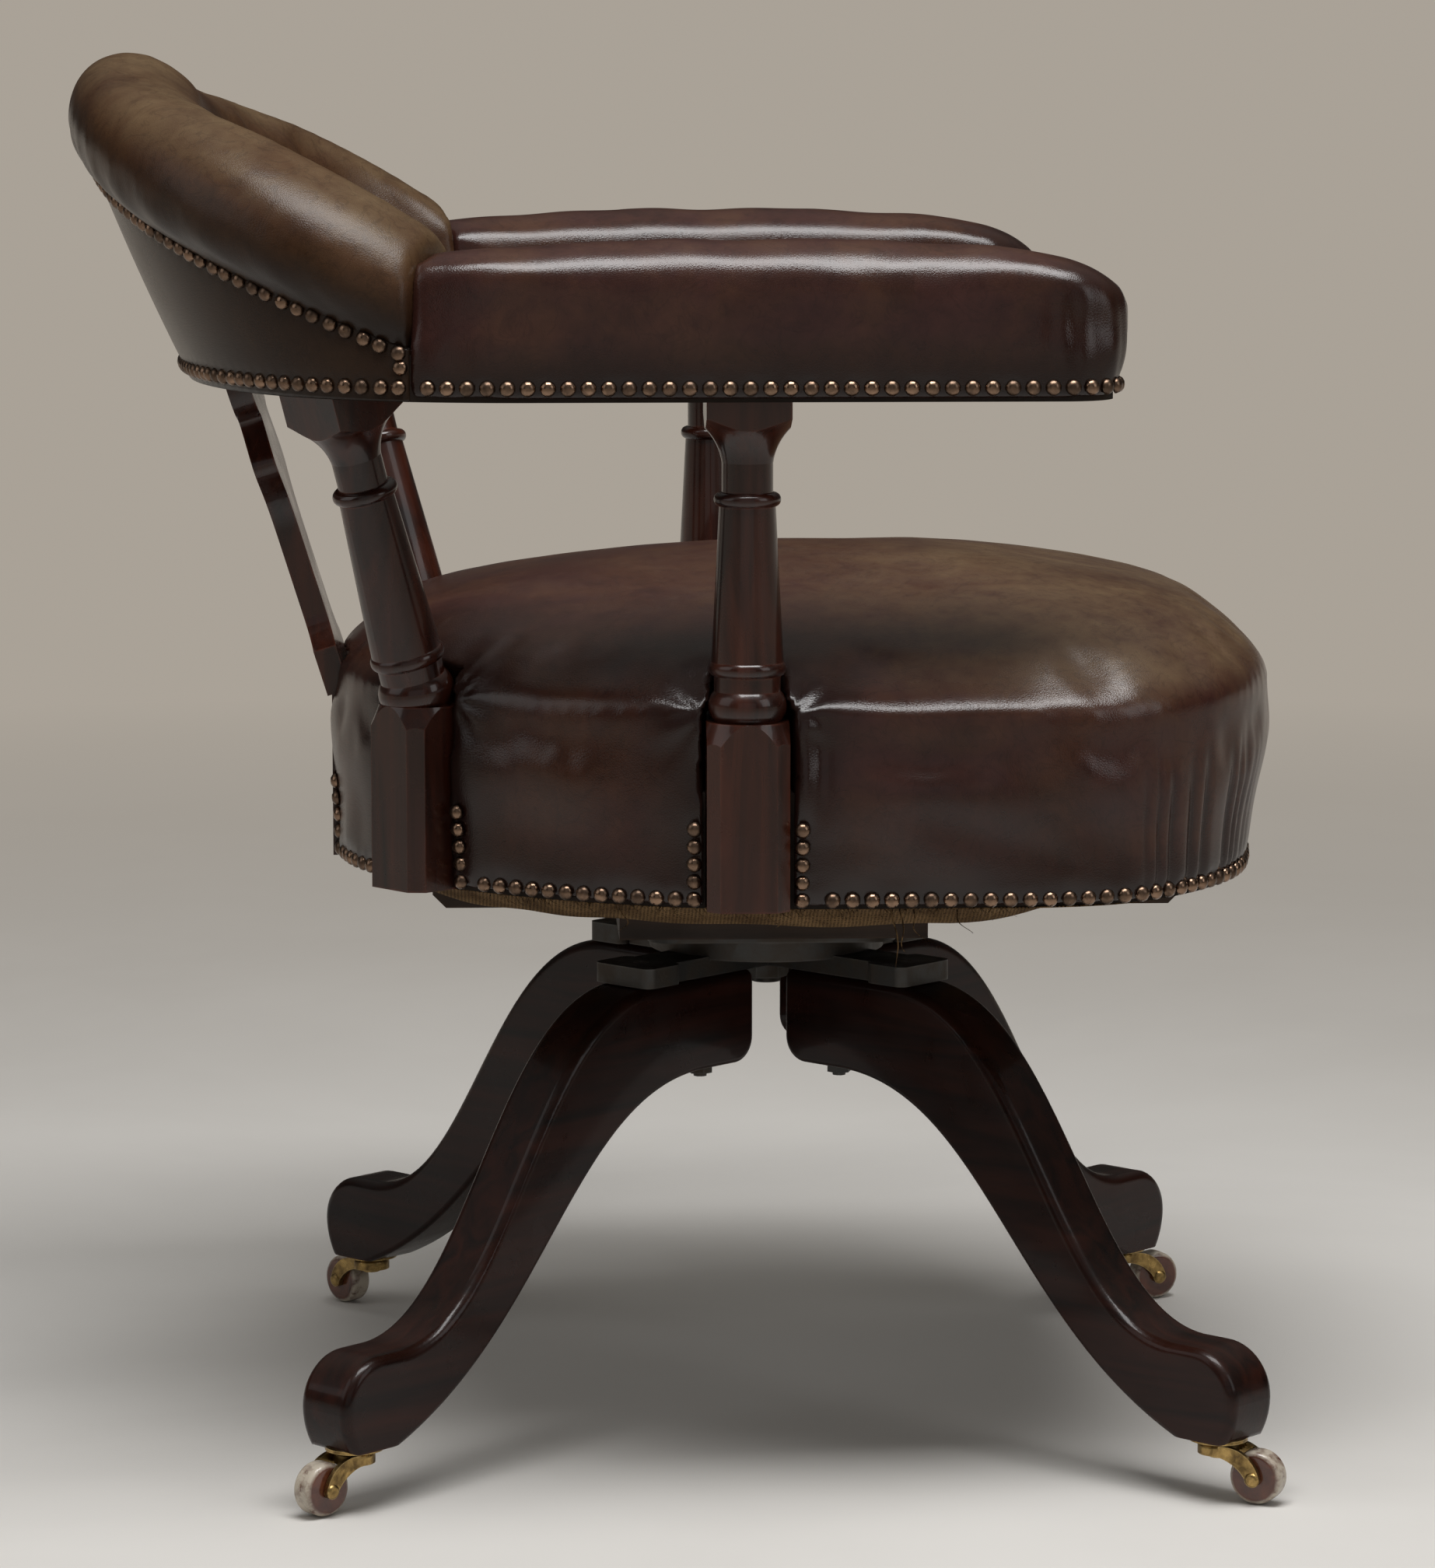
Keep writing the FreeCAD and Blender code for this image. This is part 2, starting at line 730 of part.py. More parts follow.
# Posts, each made at the origin with its outer face towards +X
def post_shaft(length, top):
    """Turned part from z = 0 up: torus, base ring, shaft tapering to a neck ring, cove and square cap."""
    foot = torus_height + base_neck_height + base_ring_height
    ring_top = top + neck_ring_height
    cove = ring_top + neck_height
    corner = cap_turned_radius
    t_mid, b_low, b_mid = torus_height / 2, torus_height + base_neck_height, foot - base_ring_height / 2
    profile = [
        line(V(0, 0, 0), V(base_neck_radius, 0, 0)),
        arc(V(base_neck_radius, 0, 0), V(torus_radius, 0, t_mid), V(base_neck_radius, 0, torus_height)),
        line(V(base_neck_radius, 0, torus_height), V(base_neck_radius, 0, b_low)),
        arc(V(base_neck_radius, 0, b_low), V(base_ring_radius, 0, b_mid), V(shaft_foot_radius, 0, foot)),
        line(V(shaft_foot_radius, 0, foot), V(shaft_head_radius, 0, top)),
        arc(V(shaft_head_radius, 0, top), V(neck_ring_radius, 0, (top + ring_top) / 2),
            V(neck_radius, 0, ring_top)),
        line(V(neck_radius, 0, ring_top), V(neck_radius, 0, cove)),
        arc(V(neck_radius, 0, cove), V(neck_radius + cap_cove_hollow[0], 0, cove + cap_cove_hollow[1]),
            V(corner, 0, cove + cap_cove_rise)),
        line(V(corner, 0, cove + cap_cove_rise), V(corner, 0, length)),
        line(V(corner, 0, length), V(0, 0, length)),
        line(V(0, 0, length), V(0, 0, 0)),
    ]
    half = cap_side / 2
    return revolve(profile).common(box(-half, half, -half, half, 0, length))


def post_block():
    half = post_side / 2
    block = box(-half, half, -half, half, seat_base, post_block_top)
    outer = [e for e in upright(block) if e.Vertexes[0].X > 0]
    block = block.makeChamfer(post_chamfer, outer)
    low = post_block_top - post_block_shoulder
    dome = revolve(polygon([V(0, 0, seat_base), V(2 * half, 0, seat_base), V(2 * half, 0, low - 2 * half),
                            V(half, 0, post_block_top), V(0, 0, post_block_top)]).Edges)
    return block.common(dome)


def post(lean):
    """Whole post; a leaning shaft tilts outwards from the top of its upright block."""
    slope = math.cos(math.radians(lean))
    length = post_shaft_height / slope + cap_side * math.sin(math.radians(lean))
    top = (post_shaft_height - cap_height - cap_cove_height - neck_height - neck_ring_height) / slope
    shaft = post_shaft(length, top).fuse(rod(base_neck_radius, -post_shaft_root, 0))
    shaft.rotate(V(0, 0, 0), V(0, 1, 0), lean)
    shaft.translate(V(0, 0, post_block_top))
    below = box(-beyond, beyond, -beyond, beyond, seat_base, arm_base)
    return post_block().fuse(shaft).common(below).removeSplitter()


def post_housing(lean):
    """Room that a post needs in the seat: its block, its turned foot and a clearance all round."""
    half = post_side / 2 + post_clearance
    block = box(-half, half, -half, half, seat_base - over, post_block_top + post_clearance)
    shaft = rod(post_room_radius, -post_shaft_root, post_room_height)
    shaft.rotate(V(0, 0, 0), V(0, 1, 0), lean)
    shaft.translate(V(0, 0, post_block_top))
    return block.fuse(shaft)


def post_places():
    """Each post's lean, turn and place on the seat's edge."""
    reach = post_proud - post_side / 2
    front_y = seat_edge(front_post_x) + reach
    rear = rear_post_place
    return {
        "front_right": (0.0, -90.0, front_post_x, -front_y),
        "front_left": (0.0, 90.0, front_post_x, front_y),
        "rear_right": (rear_post_lean, -rear_post_angle, rear[0], -rear[1]),
        "rear_left": (rear_post_lean, rear_post_angle, rear[0], rear[1]),
    }


def seat_edge(x):
    """Half width of the seat's hem at a distance along X."""
    cut = Part.makeLine(V(x, 0, 0), V(x, beyond, 0))
    return cut.distToShape(seat_ring(0))[1][0][0].y


def post_housings():
    return [turned(post_housing(lean), turn, x, y) for lean, turn, x, y in post_places().values()]


def post_screw_pair():
    """Two screws from inside the seat frame into the back of a post's block."""
    start = -post_side / 2 - post_screw_sink
    screws = []
    for height in post_screw_heights:
        screws.append(placed(wood_screw(post_screw_length), V(start, 0, seat_base + height), V(1, 0, 0)))
    return Part.makeCompound(screws)


def post_screws():
    return Part.makeCompound([turned(post_screw_pair(), t, x, y) for lean, t, x, y in post_places().values()])


def screw_pockets():
    """Holes in the seat frame that lead from its open middle to the heads of the post screws."""
    start = -post_side / 2 - post_screw_sink
    hole = rod(screw_head_radius + hole_clearance, start - post_screw_pocket, start)
    pair = []
    for height in post_screw_heights:
        pair.append(placed(hole, V(0, 0, seat_base + height), V(1, 0, 0)))
    pair = Part.makeCompound(pair)
    return Part.makeCompound([turned(pair, t, x, y) for lean, t, x, y in post_places().values()])


# Splat
def splat_tongue():
    outer = seat_rear[0] - splat_tongue_proud
    half = splat_tongue_half
    return box(outer, outer + splat_thickness, -half, half, seat_base, seat_base + splat_tongue_height)


def splat_housing():
    """Room for the tongue in the seat, open to the rear so that the leather stops on both sides of it."""
    near = seat_rear[0] - splat_tongue_proud + splat_thickness + post_clearance
    half = splat_tongue_half + post_clearance
    top = seat_base + splat_tongue_height + splat_room
    return box(near - 2 * splat_thickness - splat_set_back, near, -half, half, seat_base - over, top)


def back_splat():
    rise = arm_base - seat_base - splat_tongue_height
    length = rise / math.cos(math.radians(splat_lean)) + splat_thickness
    foot = splat_foot_height
    right = [
        (splat_tongue_half, -splat_thickness), (splat_tongue_half, foot),
        (splat_waist_half, foot + splat_scoop_height), (splat_waist_half, length * splat_waist_share),
        (splat_bump_half, length * splat_bump_share), (splat_notch_half, length * splat_notch_share),
        (splat_head_half, length * splat_head_share), (splat_head_half, length),
    ]
    side = [V(0, y, s) for y, s in right]
    curve = Part.BSplineCurve()
    curve.interpolate(Points=side[3:7], InitialTangent=V(0, 0, 1), FinalTangent=V(0, 0, 1))
    scoop = (side[1] + side[2]) * 0.5 - V(0, splat_scoop_hollow[0], splat_scoop_hollow[1])
    half = [line(side[0], side[1]), arc(side[1], scoop, side[2]), line(side[2], side[3]), curve.toShape(),
            line(side[6], side[7])]
    other = [mirrored(edge) for edge in half]
    ends = [line(side[7], V(0, -side[7].y, side[7].z)), line(side[0], V(0, -side[0].y, side[0].z))]
    wire = Part.Wire(Part.__sortEdges__(half + other + ends))
    board = Part.Face(wire).extrude(V(splat_thickness, 0, 0))
    board.rotate(V(0, 0, 0), V(0, 1, 0), -splat_lean)
    board.translate(V(seat_rear[0] - splat_tongue_proud - splat_set_back, 0, seat_base + splat_tongue_height))
    below = box(-beyond, 0, -beyond, beyond, seat_base, arm_base)
    return splat_tongue().fuse(board).common(below).removeSplitter()


# Arms: plan rings that run from the seam to a rounded front end
def bow_point(degrees):
    """Outer edge of the bow in plan, on a superellipse; 0 degrees is the rear centre."""
    c = math.cos(math.radians(degrees))
    s = math.sin(math.radians(degrees))
    power = 2 / bow_power
    return V(arm_curve_start - bow_depth * abs(c) ** power, math.copysign(arm_outer * abs(s) ** power, s), 0)


def bow_inward(degrees):
    """Unit normal of the bow's outer edge, pointing to the sitter."""
    spot = bow_point(degrees)
    gx = (abs(spot.x - arm_curve_start) / bow_depth) ** (bow_power - 1) / bow_depth
    gy = (abs(spot.y) / arm_outer) ** (bow_power - 1) / arm_outer
    return V(gx, -math.copysign(gy, spot.y), 0).normalize()


def arm_ring(z, inset, draw=0.0):
    """Plan outline of the arm at a level, drawn in all round by inset and its front end back by draw."""
    inner = arm_outer - arm_width
    corner = arm_corner
    seam = bow_point(bow_seam_angle)
    inward = bow_inward(bow_seam_angle)
    forward = V(-inward.y, inward.x, 0) * seam_gap
    seam_out = seam + inward * inset + forward
    seam_in = seam + inward * (arm_width - inset) + forward
    between = (90 + bow_seam_angle) / 2
    mid_out = bow_point(between) + bow_inward(between) * inset
    mid_in = bow_point(between) + bow_inward(between) * (arm_width - inset)
    start_out = V(arm_curve_start, arm_outer - inset, 0)
    start_in = V(arm_curve_start + (seam_in.x - seam_out.x) / 2, inner + inset, 0)
    nose = arm_front - draw
    front_x = nose - inset
    bend_x = nose - corner
    diagonal = inset + (corner - inset) * (1 - math.sqrt(0.5))
    points = [
        (start_out, V(bend_x, arm_outer - inset, 0)),
        (V(bend_x, arm_outer - inset, 0), V(nose - diagonal, arm_outer - diagonal, 0),
         V(front_x, arm_outer - corner, 0)),
        (V(front_x, arm_outer - corner, 0), V(front_x, inner + corner, 0)),
        (V(front_x, inner + corner, 0), V(nose - diagonal, inner + diagonal, 0), V(bend_x, inner + inset, 0)),
        (V(bend_x, inner + inset, 0), start_in),
        (start_in, mid_in, seam_in),
        (seam_in, seam_out),
        (seam_out, mid_out, start_out),
    ]
    wire = Part.Wire([line(*p) if len(p) == 2 else arc(*p) for p in points])
    wire.translate(V(0, 0, z))
    return wire


def arm_loft(inset, bottom):
    """Crowned arm pad from a level above the rail's underside up to the arm's crest."""
    wires = [arm_ring(arm_base + bottom, inset)]
    for share in arm_wall_shares:
        wires.append(arm_ring(arm_base + arm_shoulder * share, inset - arm_swell))
    wires.append(arm_ring(arm_base + arm_shoulder, inset))
    for share in arm_crown_shares:
        height = arm_shoulder + (arm_height - arm_shoulder) * math.sqrt(1 - (1 - share) ** 2)
        draw = (arm_width / 2 - arm_crown_half) * share
        wires.append(arm_ring(arm_base + height - inset, draw + inset, arm_nose_draw * share))
    return Part.makeLoft(wires, True, True)


def arm_rail():
    return slab(arm_ring(arm_base, leather + seam_gap), arm_rail_thickness)


def arm_stuffing():
    return arm_loft(leather + seam_gap, arm_rail_thickness + seam_gap)


def arm_cover():
    return arm_loft(0, cover_edge).cut(arm_loft(leather, 0.0))


# Back: sections across the bow, each in the upright plane of the bow's normal
def back_section(degrees, inset):
    """Named points (inward distance, height above the rail) of the section at an angle round the bow."""
    rear = 1 - abs(degrees) / bow_seam_angle
    ease = math.sin(rear * math.pi / 2)
    lean = math.tan(math.radians(back_lean)) * ease

    def between(at_seam, at_rear, share):
        return at_seam + (at_rear - at_seam) * share

    held = (rear + ease) / 2
    nail = between(back_nail_low, back_nail_high, rear)
    crest = between(arm_height, back_height, held)
    roll = between(arm_shoulder - seam_roll_drop, back_roll_level, held)
    inner = between(arm_shoulder, back_inner_level, held)
    roll_u = between(-seam_roll_out, -back_roll_out, ease)
    crest_u = between(arm_width * seam_crest_share, -back_crest_out, ease)
    inner_u = between(arm_width, 0, ease)
    top_u = between(arm_width * seam_top_share, back_top_follow * inner_u - back_top_out, ease)
    top = (crest + inner) / 2 + between(seam_top_rise, back_top_rise, rear)
    bulge_u = (inner_u + arm_width) / 2 + between(seam_inner_bulge, back_inner_bulge, rear)
    slant = inset * math.sqrt(0.5)
    return {
        "foot": (inset, 0.0),
        "nail": (inset - lean * nail, nail),
        "roll": (roll_u + inset, roll),
        "crest": (crest_u, crest - inset),
        "top": (top_u - slant, top - slant),
        "inner": (inner_u - inset, inner),
        "bulge": (bulge_u - inset, inner / 2),
        "hem": (arm_width - inset, 0.0),
        "lean": (lean, 0.0),
    }


def on_bow(degrees, spot):
    return bow_point(degrees) + bow_inward(degrees) * spot[0] + V(0, 0, arm_base + spot[1])


def bow_angles():
    last = bow_stations - 1
    return [bow_seam_angle * (2 * k / last - 1) for k in range(bow_stations)]


def over_roll(degrees, inset):
    """Edges from the nail row over the roll and down the inside of the back."""
    s = back_section(degrees, inset)
    p = {key: on_bow(degrees, s[key]) for key in s}
    return [arc(p["nail"], p["roll"], p["crest"]), arc(p["crest"], p["top"], p["inner"]),
            arc(p["inner"], p["bulge"], p["hem"])]


def bow_loft(section):
    return Part.makeLoft([section(angle) for angle in bow_angles()], True, False)


def back_form():
    def section(angle):
        edges = over_roll(angle, 0)
        s = back_section(angle, 0)
        foot = on_bow(angle, s["foot"])
        return Part.Wire(edges + [line(on_bow(angle, s["hem"]), foot), line(foot, on_bow(angle, s["nail"]))])
    return bow_loft(section)


def back_inside_cover():
    def section(angle):
        outside = over_roll(angle, 0)
        inside = over_roll(angle, leather)
        ends = [line(outside[2].Vertexes[-1].Point, inside[2].Vertexes[-1].Point),
                line(inside[0].Vertexes[0].Point, outside[0].Vertexes[0].Point)]
        return Part.Wire(outside + [ends[0]] + inside[::-1] + [ends[1]])
    return bow_loft(section)


def leaning_quad(angle, u0, u1, low, high):
    """Four-sided section that leans with the back, between two inward distances and two heights."""
    lean = back_section(angle, 0)["lean"][0]
    corners = [(u0 - lean * low, low), (u1 - lean * low, low), (u1 - lean * high, high),
               (u0 - lean * high, high)]
    return polygon([on_bow(angle, corner) for corner in corners])


def back_outside_cover():
    def section(angle):
        nail = back_section(angle, 0)["nail"][1] - seam_gap
        return leaning_quad(angle, 0, leather, cover_edge, nail)
    return bow_loft(section)


def back_board_panel():
    def section(angle):
        nail = back_section(angle, 0)["nail"][1] - seam_gap
        near = leather + seam_gap
        return leaning_quad(angle, near, near + back_board, arm_rail_thickness, nail)
    return bow_loft(section)


def back_rail():
    def section(angle):
        near = leather + seam_gap
        far = arm_width - leather - back_rail_margin
        lean = back_section(angle, 0)["lean"][0] * arm_rail_thickness
        corners = [(near, 0), (far, 0), (far - lean, arm_rail_thickness), (near - lean, arm_rail_thickness)]
        return polygon([on_bow(angle, corner) for corner in corners])
    return bow_loft(section)


def back_stuffing():
    inset = leather + seam_gap
    near = inset + back_board + seam_gap

    def section(angle):
        s = back_section(angle, inset)
        low = on_bow(angle, (near, 0.0))
        high = on_bow(angle, (near - s["lean"][0] * s["nail"][1], s["nail"][1]))
        edges = over_roll(angle, inset)
        end = edges[2].Vertexes[-1].Point
        return Part.Wire(edges + [line(end, low), line(low, high), line(high, edges[0].Vertexes[0].Point)])

    level = arm_base + arm_rail_thickness + seam_gap
    return bow_loft(section).common(box(-2 * beyond, beyond, -beyond, beyond, level, level + beyond))


# Upholstery nails: domed heads set on the leather
def nail_head():
    radius = (nail_diameter ** 2 / 4 + nail_height ** 2) / (2 * nail_height)
    start = math.degrees(math.asin((radius - nail_height) / radius))
    return Part.makeSphere(radius, V(0, 0, nail_height - radius), V(0, 0, 1), start, 90, 360)


def nail_on(form, start, outward):
    """A nail where a line from inside a form leaves it, square to the form's surface there."""
    ray = Part.LineSegment(start, start + outward * nail_search)
    room = ray.toShape().BoundBox
    surfaces = [face.Surface for face in form.Faces if face.BoundBox.intersect(room)]
    found = [(V(p.X, p.Y, p.Z), surface) for surface in surfaces for p in ray.intersectCS(surface)[0]]
    spot, surface = min(found, key=lambda hit: (hit[0] - start).dot(outward))
    normal = surface.normal(*surface.parameter(spot))
    if normal.dot(outward) < 0:
        normal = normal * -1
    return placed(nail_head(), spot + normal * nail_seat, normal)


def spaced(wire, pitch):
    """Points at an even pitch, close to the one asked for, along a wire that may be closed."""
    count = max(2, round(wire.Length / pitch))
    points = wire.discretize(Number=count + 1)
    return points[:-1] if wire.isClosed() else points


def seat_nails():
    form = seat_loft(0)
    points = spaced(seat_ring(seat_base + seat_nail_level), nail_pitch)
    bars = post_housings() + [splat_housing()]
    turn = 1 if (points[1] - points[0]).cross(points[0]).z > 0 else -1
    nails = []
    for k, spot in enumerate(points):
        along = points[(k + 1) % len(points)] - points[k - 1]
        outward = V(along.y, -along.x, 0).normalize() * -turn
        room = min(bar.distToShape(Part.Vertex(spot))[0] for bar in bars)
        if room > nail_column_gap + nail_diameter:
            nails.append(nail_on(form, spot - outward * nail_start, outward))
    return Part.makeCompound(nails + nail_columns(form))


def nail_columns(form):
    """Upright rows of nails on both sides of each post and of the splat's tongue."""
    ways = []
    gap = nail_column_gap + post_clearance
    for lean, turn, x, y in post_places().values():
        for side in (-1, 1):
            across = V(*polar(side * (post_side / 2 + gap), turn + 90), 0)
            ways.append((V(x, y, 0) + across, V(*polar(1, turn), 0)))
    for side in (-1, 1):
        ways.append((V(seat_rear[0] + nail_start, side * (splat_tongue_half + gap), 0), V(-1, 0, 0)))
    nails = []
    for spot, outward in ways:
        for k in range(nail_column_count):
            level = seat_base + seat_nail_level + k * nail_column_pitch
            nails.append(nail_on(form, V(spot.x, spot.y, level) - outward * nail_start, outward))
    return nails


def arm_nails():
    form = arm_loft(0, cover_edge)
    ring = arm_ring(arm_base + rail_nail_level, 0)
    run = Part.Wire(ring.OrderedEdges[7:] + ring.OrderedEdges[:6])
    points = spaced(run, nail_pitch)
    nails = []
    for k in range(1, len(points) - 1):
        along = points[k + 1] - points[k - 1]
        outward = V(-along.y, along.x, 0).normalize()
        nails.append(nail_on(form, points[k] - outward * nail_start, outward))
    return Part.makeCompound(nails)


def bow_row(spot_at, pitch):
    """Even angles along a row round the bow, so that its nails stand a pitch apart."""
    steps = bow_row_steps
    angles = [bow_seam_angle * (2 * k / steps - 1) for k in range(steps + 1)]
    points = [spot_at(angle) for angle in angles]
    lengths = [0.0]
    for a, b in zip(points, points[1:]):
        lengths.append(lengths[-1] + a.distanceToPoint(b))
    count = round(lengths[-1] / pitch)
    wanted = [lengths[-1] * (k + 0.5) / count for k in range(count)]
    return [angles[min(range(steps + 1), key=lambda i: abs(lengths[i] - w))] for w in wanted]


def back_nails():
    form = back_form()

    def on_panel(angle, height):
        lean = back_section(angle, 0)["lean"][0]
        return on_bow(angle, (-lean * height, height))

    def upper(angle):
        return on_panel(angle, back_section(angle, 0)["nail"][1] - nail_diameter / 2 - cover_edge)

    def lower(angle):
        return on_panel(angle, rail_nail_level)

    def inner(angle):
        return on_bow(angle, (arm_width, rail_nail_level))

    nails = []
    for row, way in ((upper, -1), (lower, -1), (inner, 1)):
        for angle in bow_row(row, nail_pitch):
            lean = back_section(angle, 0)["lean"][0] if way < 0 else 0.0
            outward = (bow_inward(angle) * way - V(0, 0, lean)).normalize()
            nails.append(nail_on(form, row(angle) - outward * nail_start, outward))
    return Part.makeCompound(nails)


def build():
    os.makedirs("parts", exist_ok=True)
    for place, angle in leg_angles.items():
        x, y = polar(castor_radius, angle)
        save("leg_" + place, turned(leg(), angle))
        save("castor_plate_" + place, turned(castor_plate(), angle, x, y))
        trail = castor_angles[place]
        save("castor_fork_" + place, turned(castor_fork(), trail, x, y))
        save("castor_axle_" + place, turned(castor_axle(), trail, x, y))
        save("castor_wheel_" + place, turned(castor_wheel(), trail, x, y))
    angles = leg_angles.values()
    save("castor_screws", Part.makeCompound([turned(foot_screws(), angle) for angle in angles]))
    save("leg_bolts", Part.makeCompound([turned(leg_bolt(), angle) for angle in angles]))
    save("leg_nuts", Part.makeCompound([turned(leg_nut(), angle) for angle in angles]))
    save("leg_screws", Part.makeCompound([turned(leg_screw(), angle) for angle in angles]))
    save("swivel_spider", swivel_spider())
    save("swivel_plate", swivel_plate())
    save("swivel_plate_screws", plate_screws())
    save("pivot_pin", pivot_pin())
    save("pivot_nut", pivot_nut())
    save("swivel_block", swivel_block())
    save("seat_bearer_left", seat_bearer())
    save("seat_bearer_right", mirrored(seat_bearer()))
    save("bearer_screws", bearer_screws())
    save("seat_frame", seat_frame())
    save("seat_webbing", seat_webbing())
    save("seat_springs", seat_springs())
    save("seat_hessian", seat_hessian())
    save("seat_stuffing", seat_stuffing())
    save("seat_cover", seat_cover())
    save("seat_nails", seat_nails())
    for place, (lean, turn, x, y) in post_places().items():
        save("post_" + place, turned(post(lean).cut(post_screw_pair()), turn, x, y))
    save("post_screws", post_screws())
    save("back_splat", back_splat())
    save("arm_rail_left", arm_rail())
    save("arm_rail_right", mirrored(arm_rail()))
    save("arm_stuffing_left", arm_stuffing())
    save("arm_stuffing_right", mirrored(arm_stuffing()))
    save("arm_cover_left", arm_cover())
    save("arm_cover_right", mirrored(arm_cover()))
    save("arm_nails_left", arm_nails())
    save("arm_nails_right", mirrored(arm_nails()))
    save("back_rail", back_rail())
    save("back_board", back_board_panel())
    save("back_stuffing", back_stuffing())
    save("back_inside_cover", back_inside_cover())
    save("back_outside_cover", back_outside_cover())
    save("back_nails", back_nails())


build()
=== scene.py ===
# %% [markdown]
# # A swivelling leather desk armchair
# A padded bow of leather stands on four turned posts round a deep sprung seat, and the whole upper
# part turns on an iron swivel over four mahogany legs with brass castors. The timber, iron, brass and
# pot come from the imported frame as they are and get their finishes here. The leather, the hessian and
# the nail heads are worked out in this file, because they need softer and finer shapes than a solid has.

# %% Load the frame
import json
import math

import bpy
import numpy as np
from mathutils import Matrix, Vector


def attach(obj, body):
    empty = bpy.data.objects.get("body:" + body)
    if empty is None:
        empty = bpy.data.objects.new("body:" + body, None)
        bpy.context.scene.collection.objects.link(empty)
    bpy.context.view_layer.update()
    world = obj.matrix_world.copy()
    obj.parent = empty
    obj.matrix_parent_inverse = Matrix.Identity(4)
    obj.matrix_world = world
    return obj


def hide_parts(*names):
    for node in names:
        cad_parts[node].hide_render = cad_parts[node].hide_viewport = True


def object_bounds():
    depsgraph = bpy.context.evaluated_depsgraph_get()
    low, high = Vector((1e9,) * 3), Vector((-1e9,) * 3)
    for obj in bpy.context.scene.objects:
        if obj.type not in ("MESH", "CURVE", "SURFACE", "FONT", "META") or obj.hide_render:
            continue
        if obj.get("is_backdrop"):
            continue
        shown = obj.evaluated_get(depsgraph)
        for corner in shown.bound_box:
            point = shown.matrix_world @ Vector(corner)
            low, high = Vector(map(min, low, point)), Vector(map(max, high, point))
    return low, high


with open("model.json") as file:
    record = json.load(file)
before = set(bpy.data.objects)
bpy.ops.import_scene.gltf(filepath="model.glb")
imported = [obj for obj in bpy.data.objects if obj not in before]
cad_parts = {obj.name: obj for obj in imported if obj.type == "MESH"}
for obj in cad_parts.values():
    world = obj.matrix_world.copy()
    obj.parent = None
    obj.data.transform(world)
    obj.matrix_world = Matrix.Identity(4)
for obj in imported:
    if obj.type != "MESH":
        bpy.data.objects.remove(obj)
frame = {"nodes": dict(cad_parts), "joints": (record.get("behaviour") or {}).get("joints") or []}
nodes = frame["nodes"]
cad_low, cad_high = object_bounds()
scene = bpy.context.scene
scene.view_settings.view_transform = "Standard"
print("frame:", len(nodes), "nodes, box", [round(float(v), 3) for v in (*cad_low, *cad_high)])

# %% [markdown]
# ## The camera
# The photograph was taken from the sitter's right, a little behind the middle of the seat and slightly
# above the arms, with a long lens. The camera's place and lens were solved from the edges of the legs,
# the posts and the arm, so a piece that is right in the model lands on its own pixels in the render.

# %% Place the camera
photo_height = 2016
focal_pixels = 7091.5
camera_data = bpy.data.cameras.new("photo_camera")
camera_data.sensor_width = 36.0
camera_data.lens = focal_pixels / photo_height * camera_data.sensor_width
camera_data.clip_end = 60.0
camera = bpy.data.objects.new("photo_camera", camera_data)
camera.location = (-0.1734, -3.3454, 0.8485)
camera.rotation_euler = (math.pi / 2 - 0.13776, 0.0, -0.04285)
scene.collection.objects.link(camera)
scene.camera = camera
print("camera: lens", round(camera_data.lens, 1), "mm")

# %% [markdown]
# ## Shader building blocks
# Every finish below is a small graph of nodes. A few short helpers keep the graphs readable: they add a node
# with its input values, join two sockets, start a material or a group, and mix numbers and colours.

# %% Helpers for node graphs
def add_node(tree, kind, settings=None, **values):
    """Add a node of a kind, set its own settings, then its input sockets by name (spaces as underscores)."""
    node = tree.nodes.new(kind)
    for name, value in (settings or {}).items():
        setattr(node, name, value)
    for name, value in values.items():
        node.inputs[name.replace("_", " ")].default_value = value
    return node


def join(tree, source, target):
    """Link an output (node, socket name or number) to an input (node, socket name or number)."""
    return tree.links.new(source[0].outputs[source[1]], target[0].inputs[target[1]])


def begin_finish(name, **values):
    """Start a material: its node tree and its shader, with the uniform values set on the shader's own sockets."""
    material = bpy.data.materials.new(name)
    material.use_nodes = True
    tree = material.node_tree
    shader = next(n for n in tree.nodes if n.type == "BSDF_PRINCIPLED")
    for socket, value in values.items():
        shader.inputs[socket.replace("_", " ")].default_value = value
    return material, tree, shader


def begin_group(name, inputs, outputs):
    """Start a node group with named number inputs (value each) and named outputs (socket type each)."""
    tree = bpy.data.node_groups.new(name, "ShaderNodeTree")
    for socket, value in inputs.items():
        made = tree.interface.new_socket(name=socket, in_out="INPUT", socket_type="NodeSocketFloat")
        made.default_value = value
    for socket, kind in outputs.items():
        tree.interface.new_socket(name=socket, in_out="OUTPUT", socket_type=kind)
    return tree, tree.nodes.new("NodeGroupInput"), tree.nodes.new("NodeGroupOutput")


def use_group(tree, group, **values):
    """Place a group in a material with its own input values."""
    node = tree.nodes.new("ShaderNodeGroup")
    node.node_tree = group
    for socket, value in values.items():
        node.inputs[socket.replace("_", " ")].default_value = value
    return node


def calculate(tree, operation, first, second):
    """A math node; each side is a number or an output given as (node, socket)."""
    node = add_node(tree, "ShaderNodeMath", {"operation": operation})
    for k, side in enumerate((first, second)):
        if isinstance(side, tuple):
            join(tree, side, (node, k))
        else:
            node.inputs[k].default_value = side
    return (node, 0)


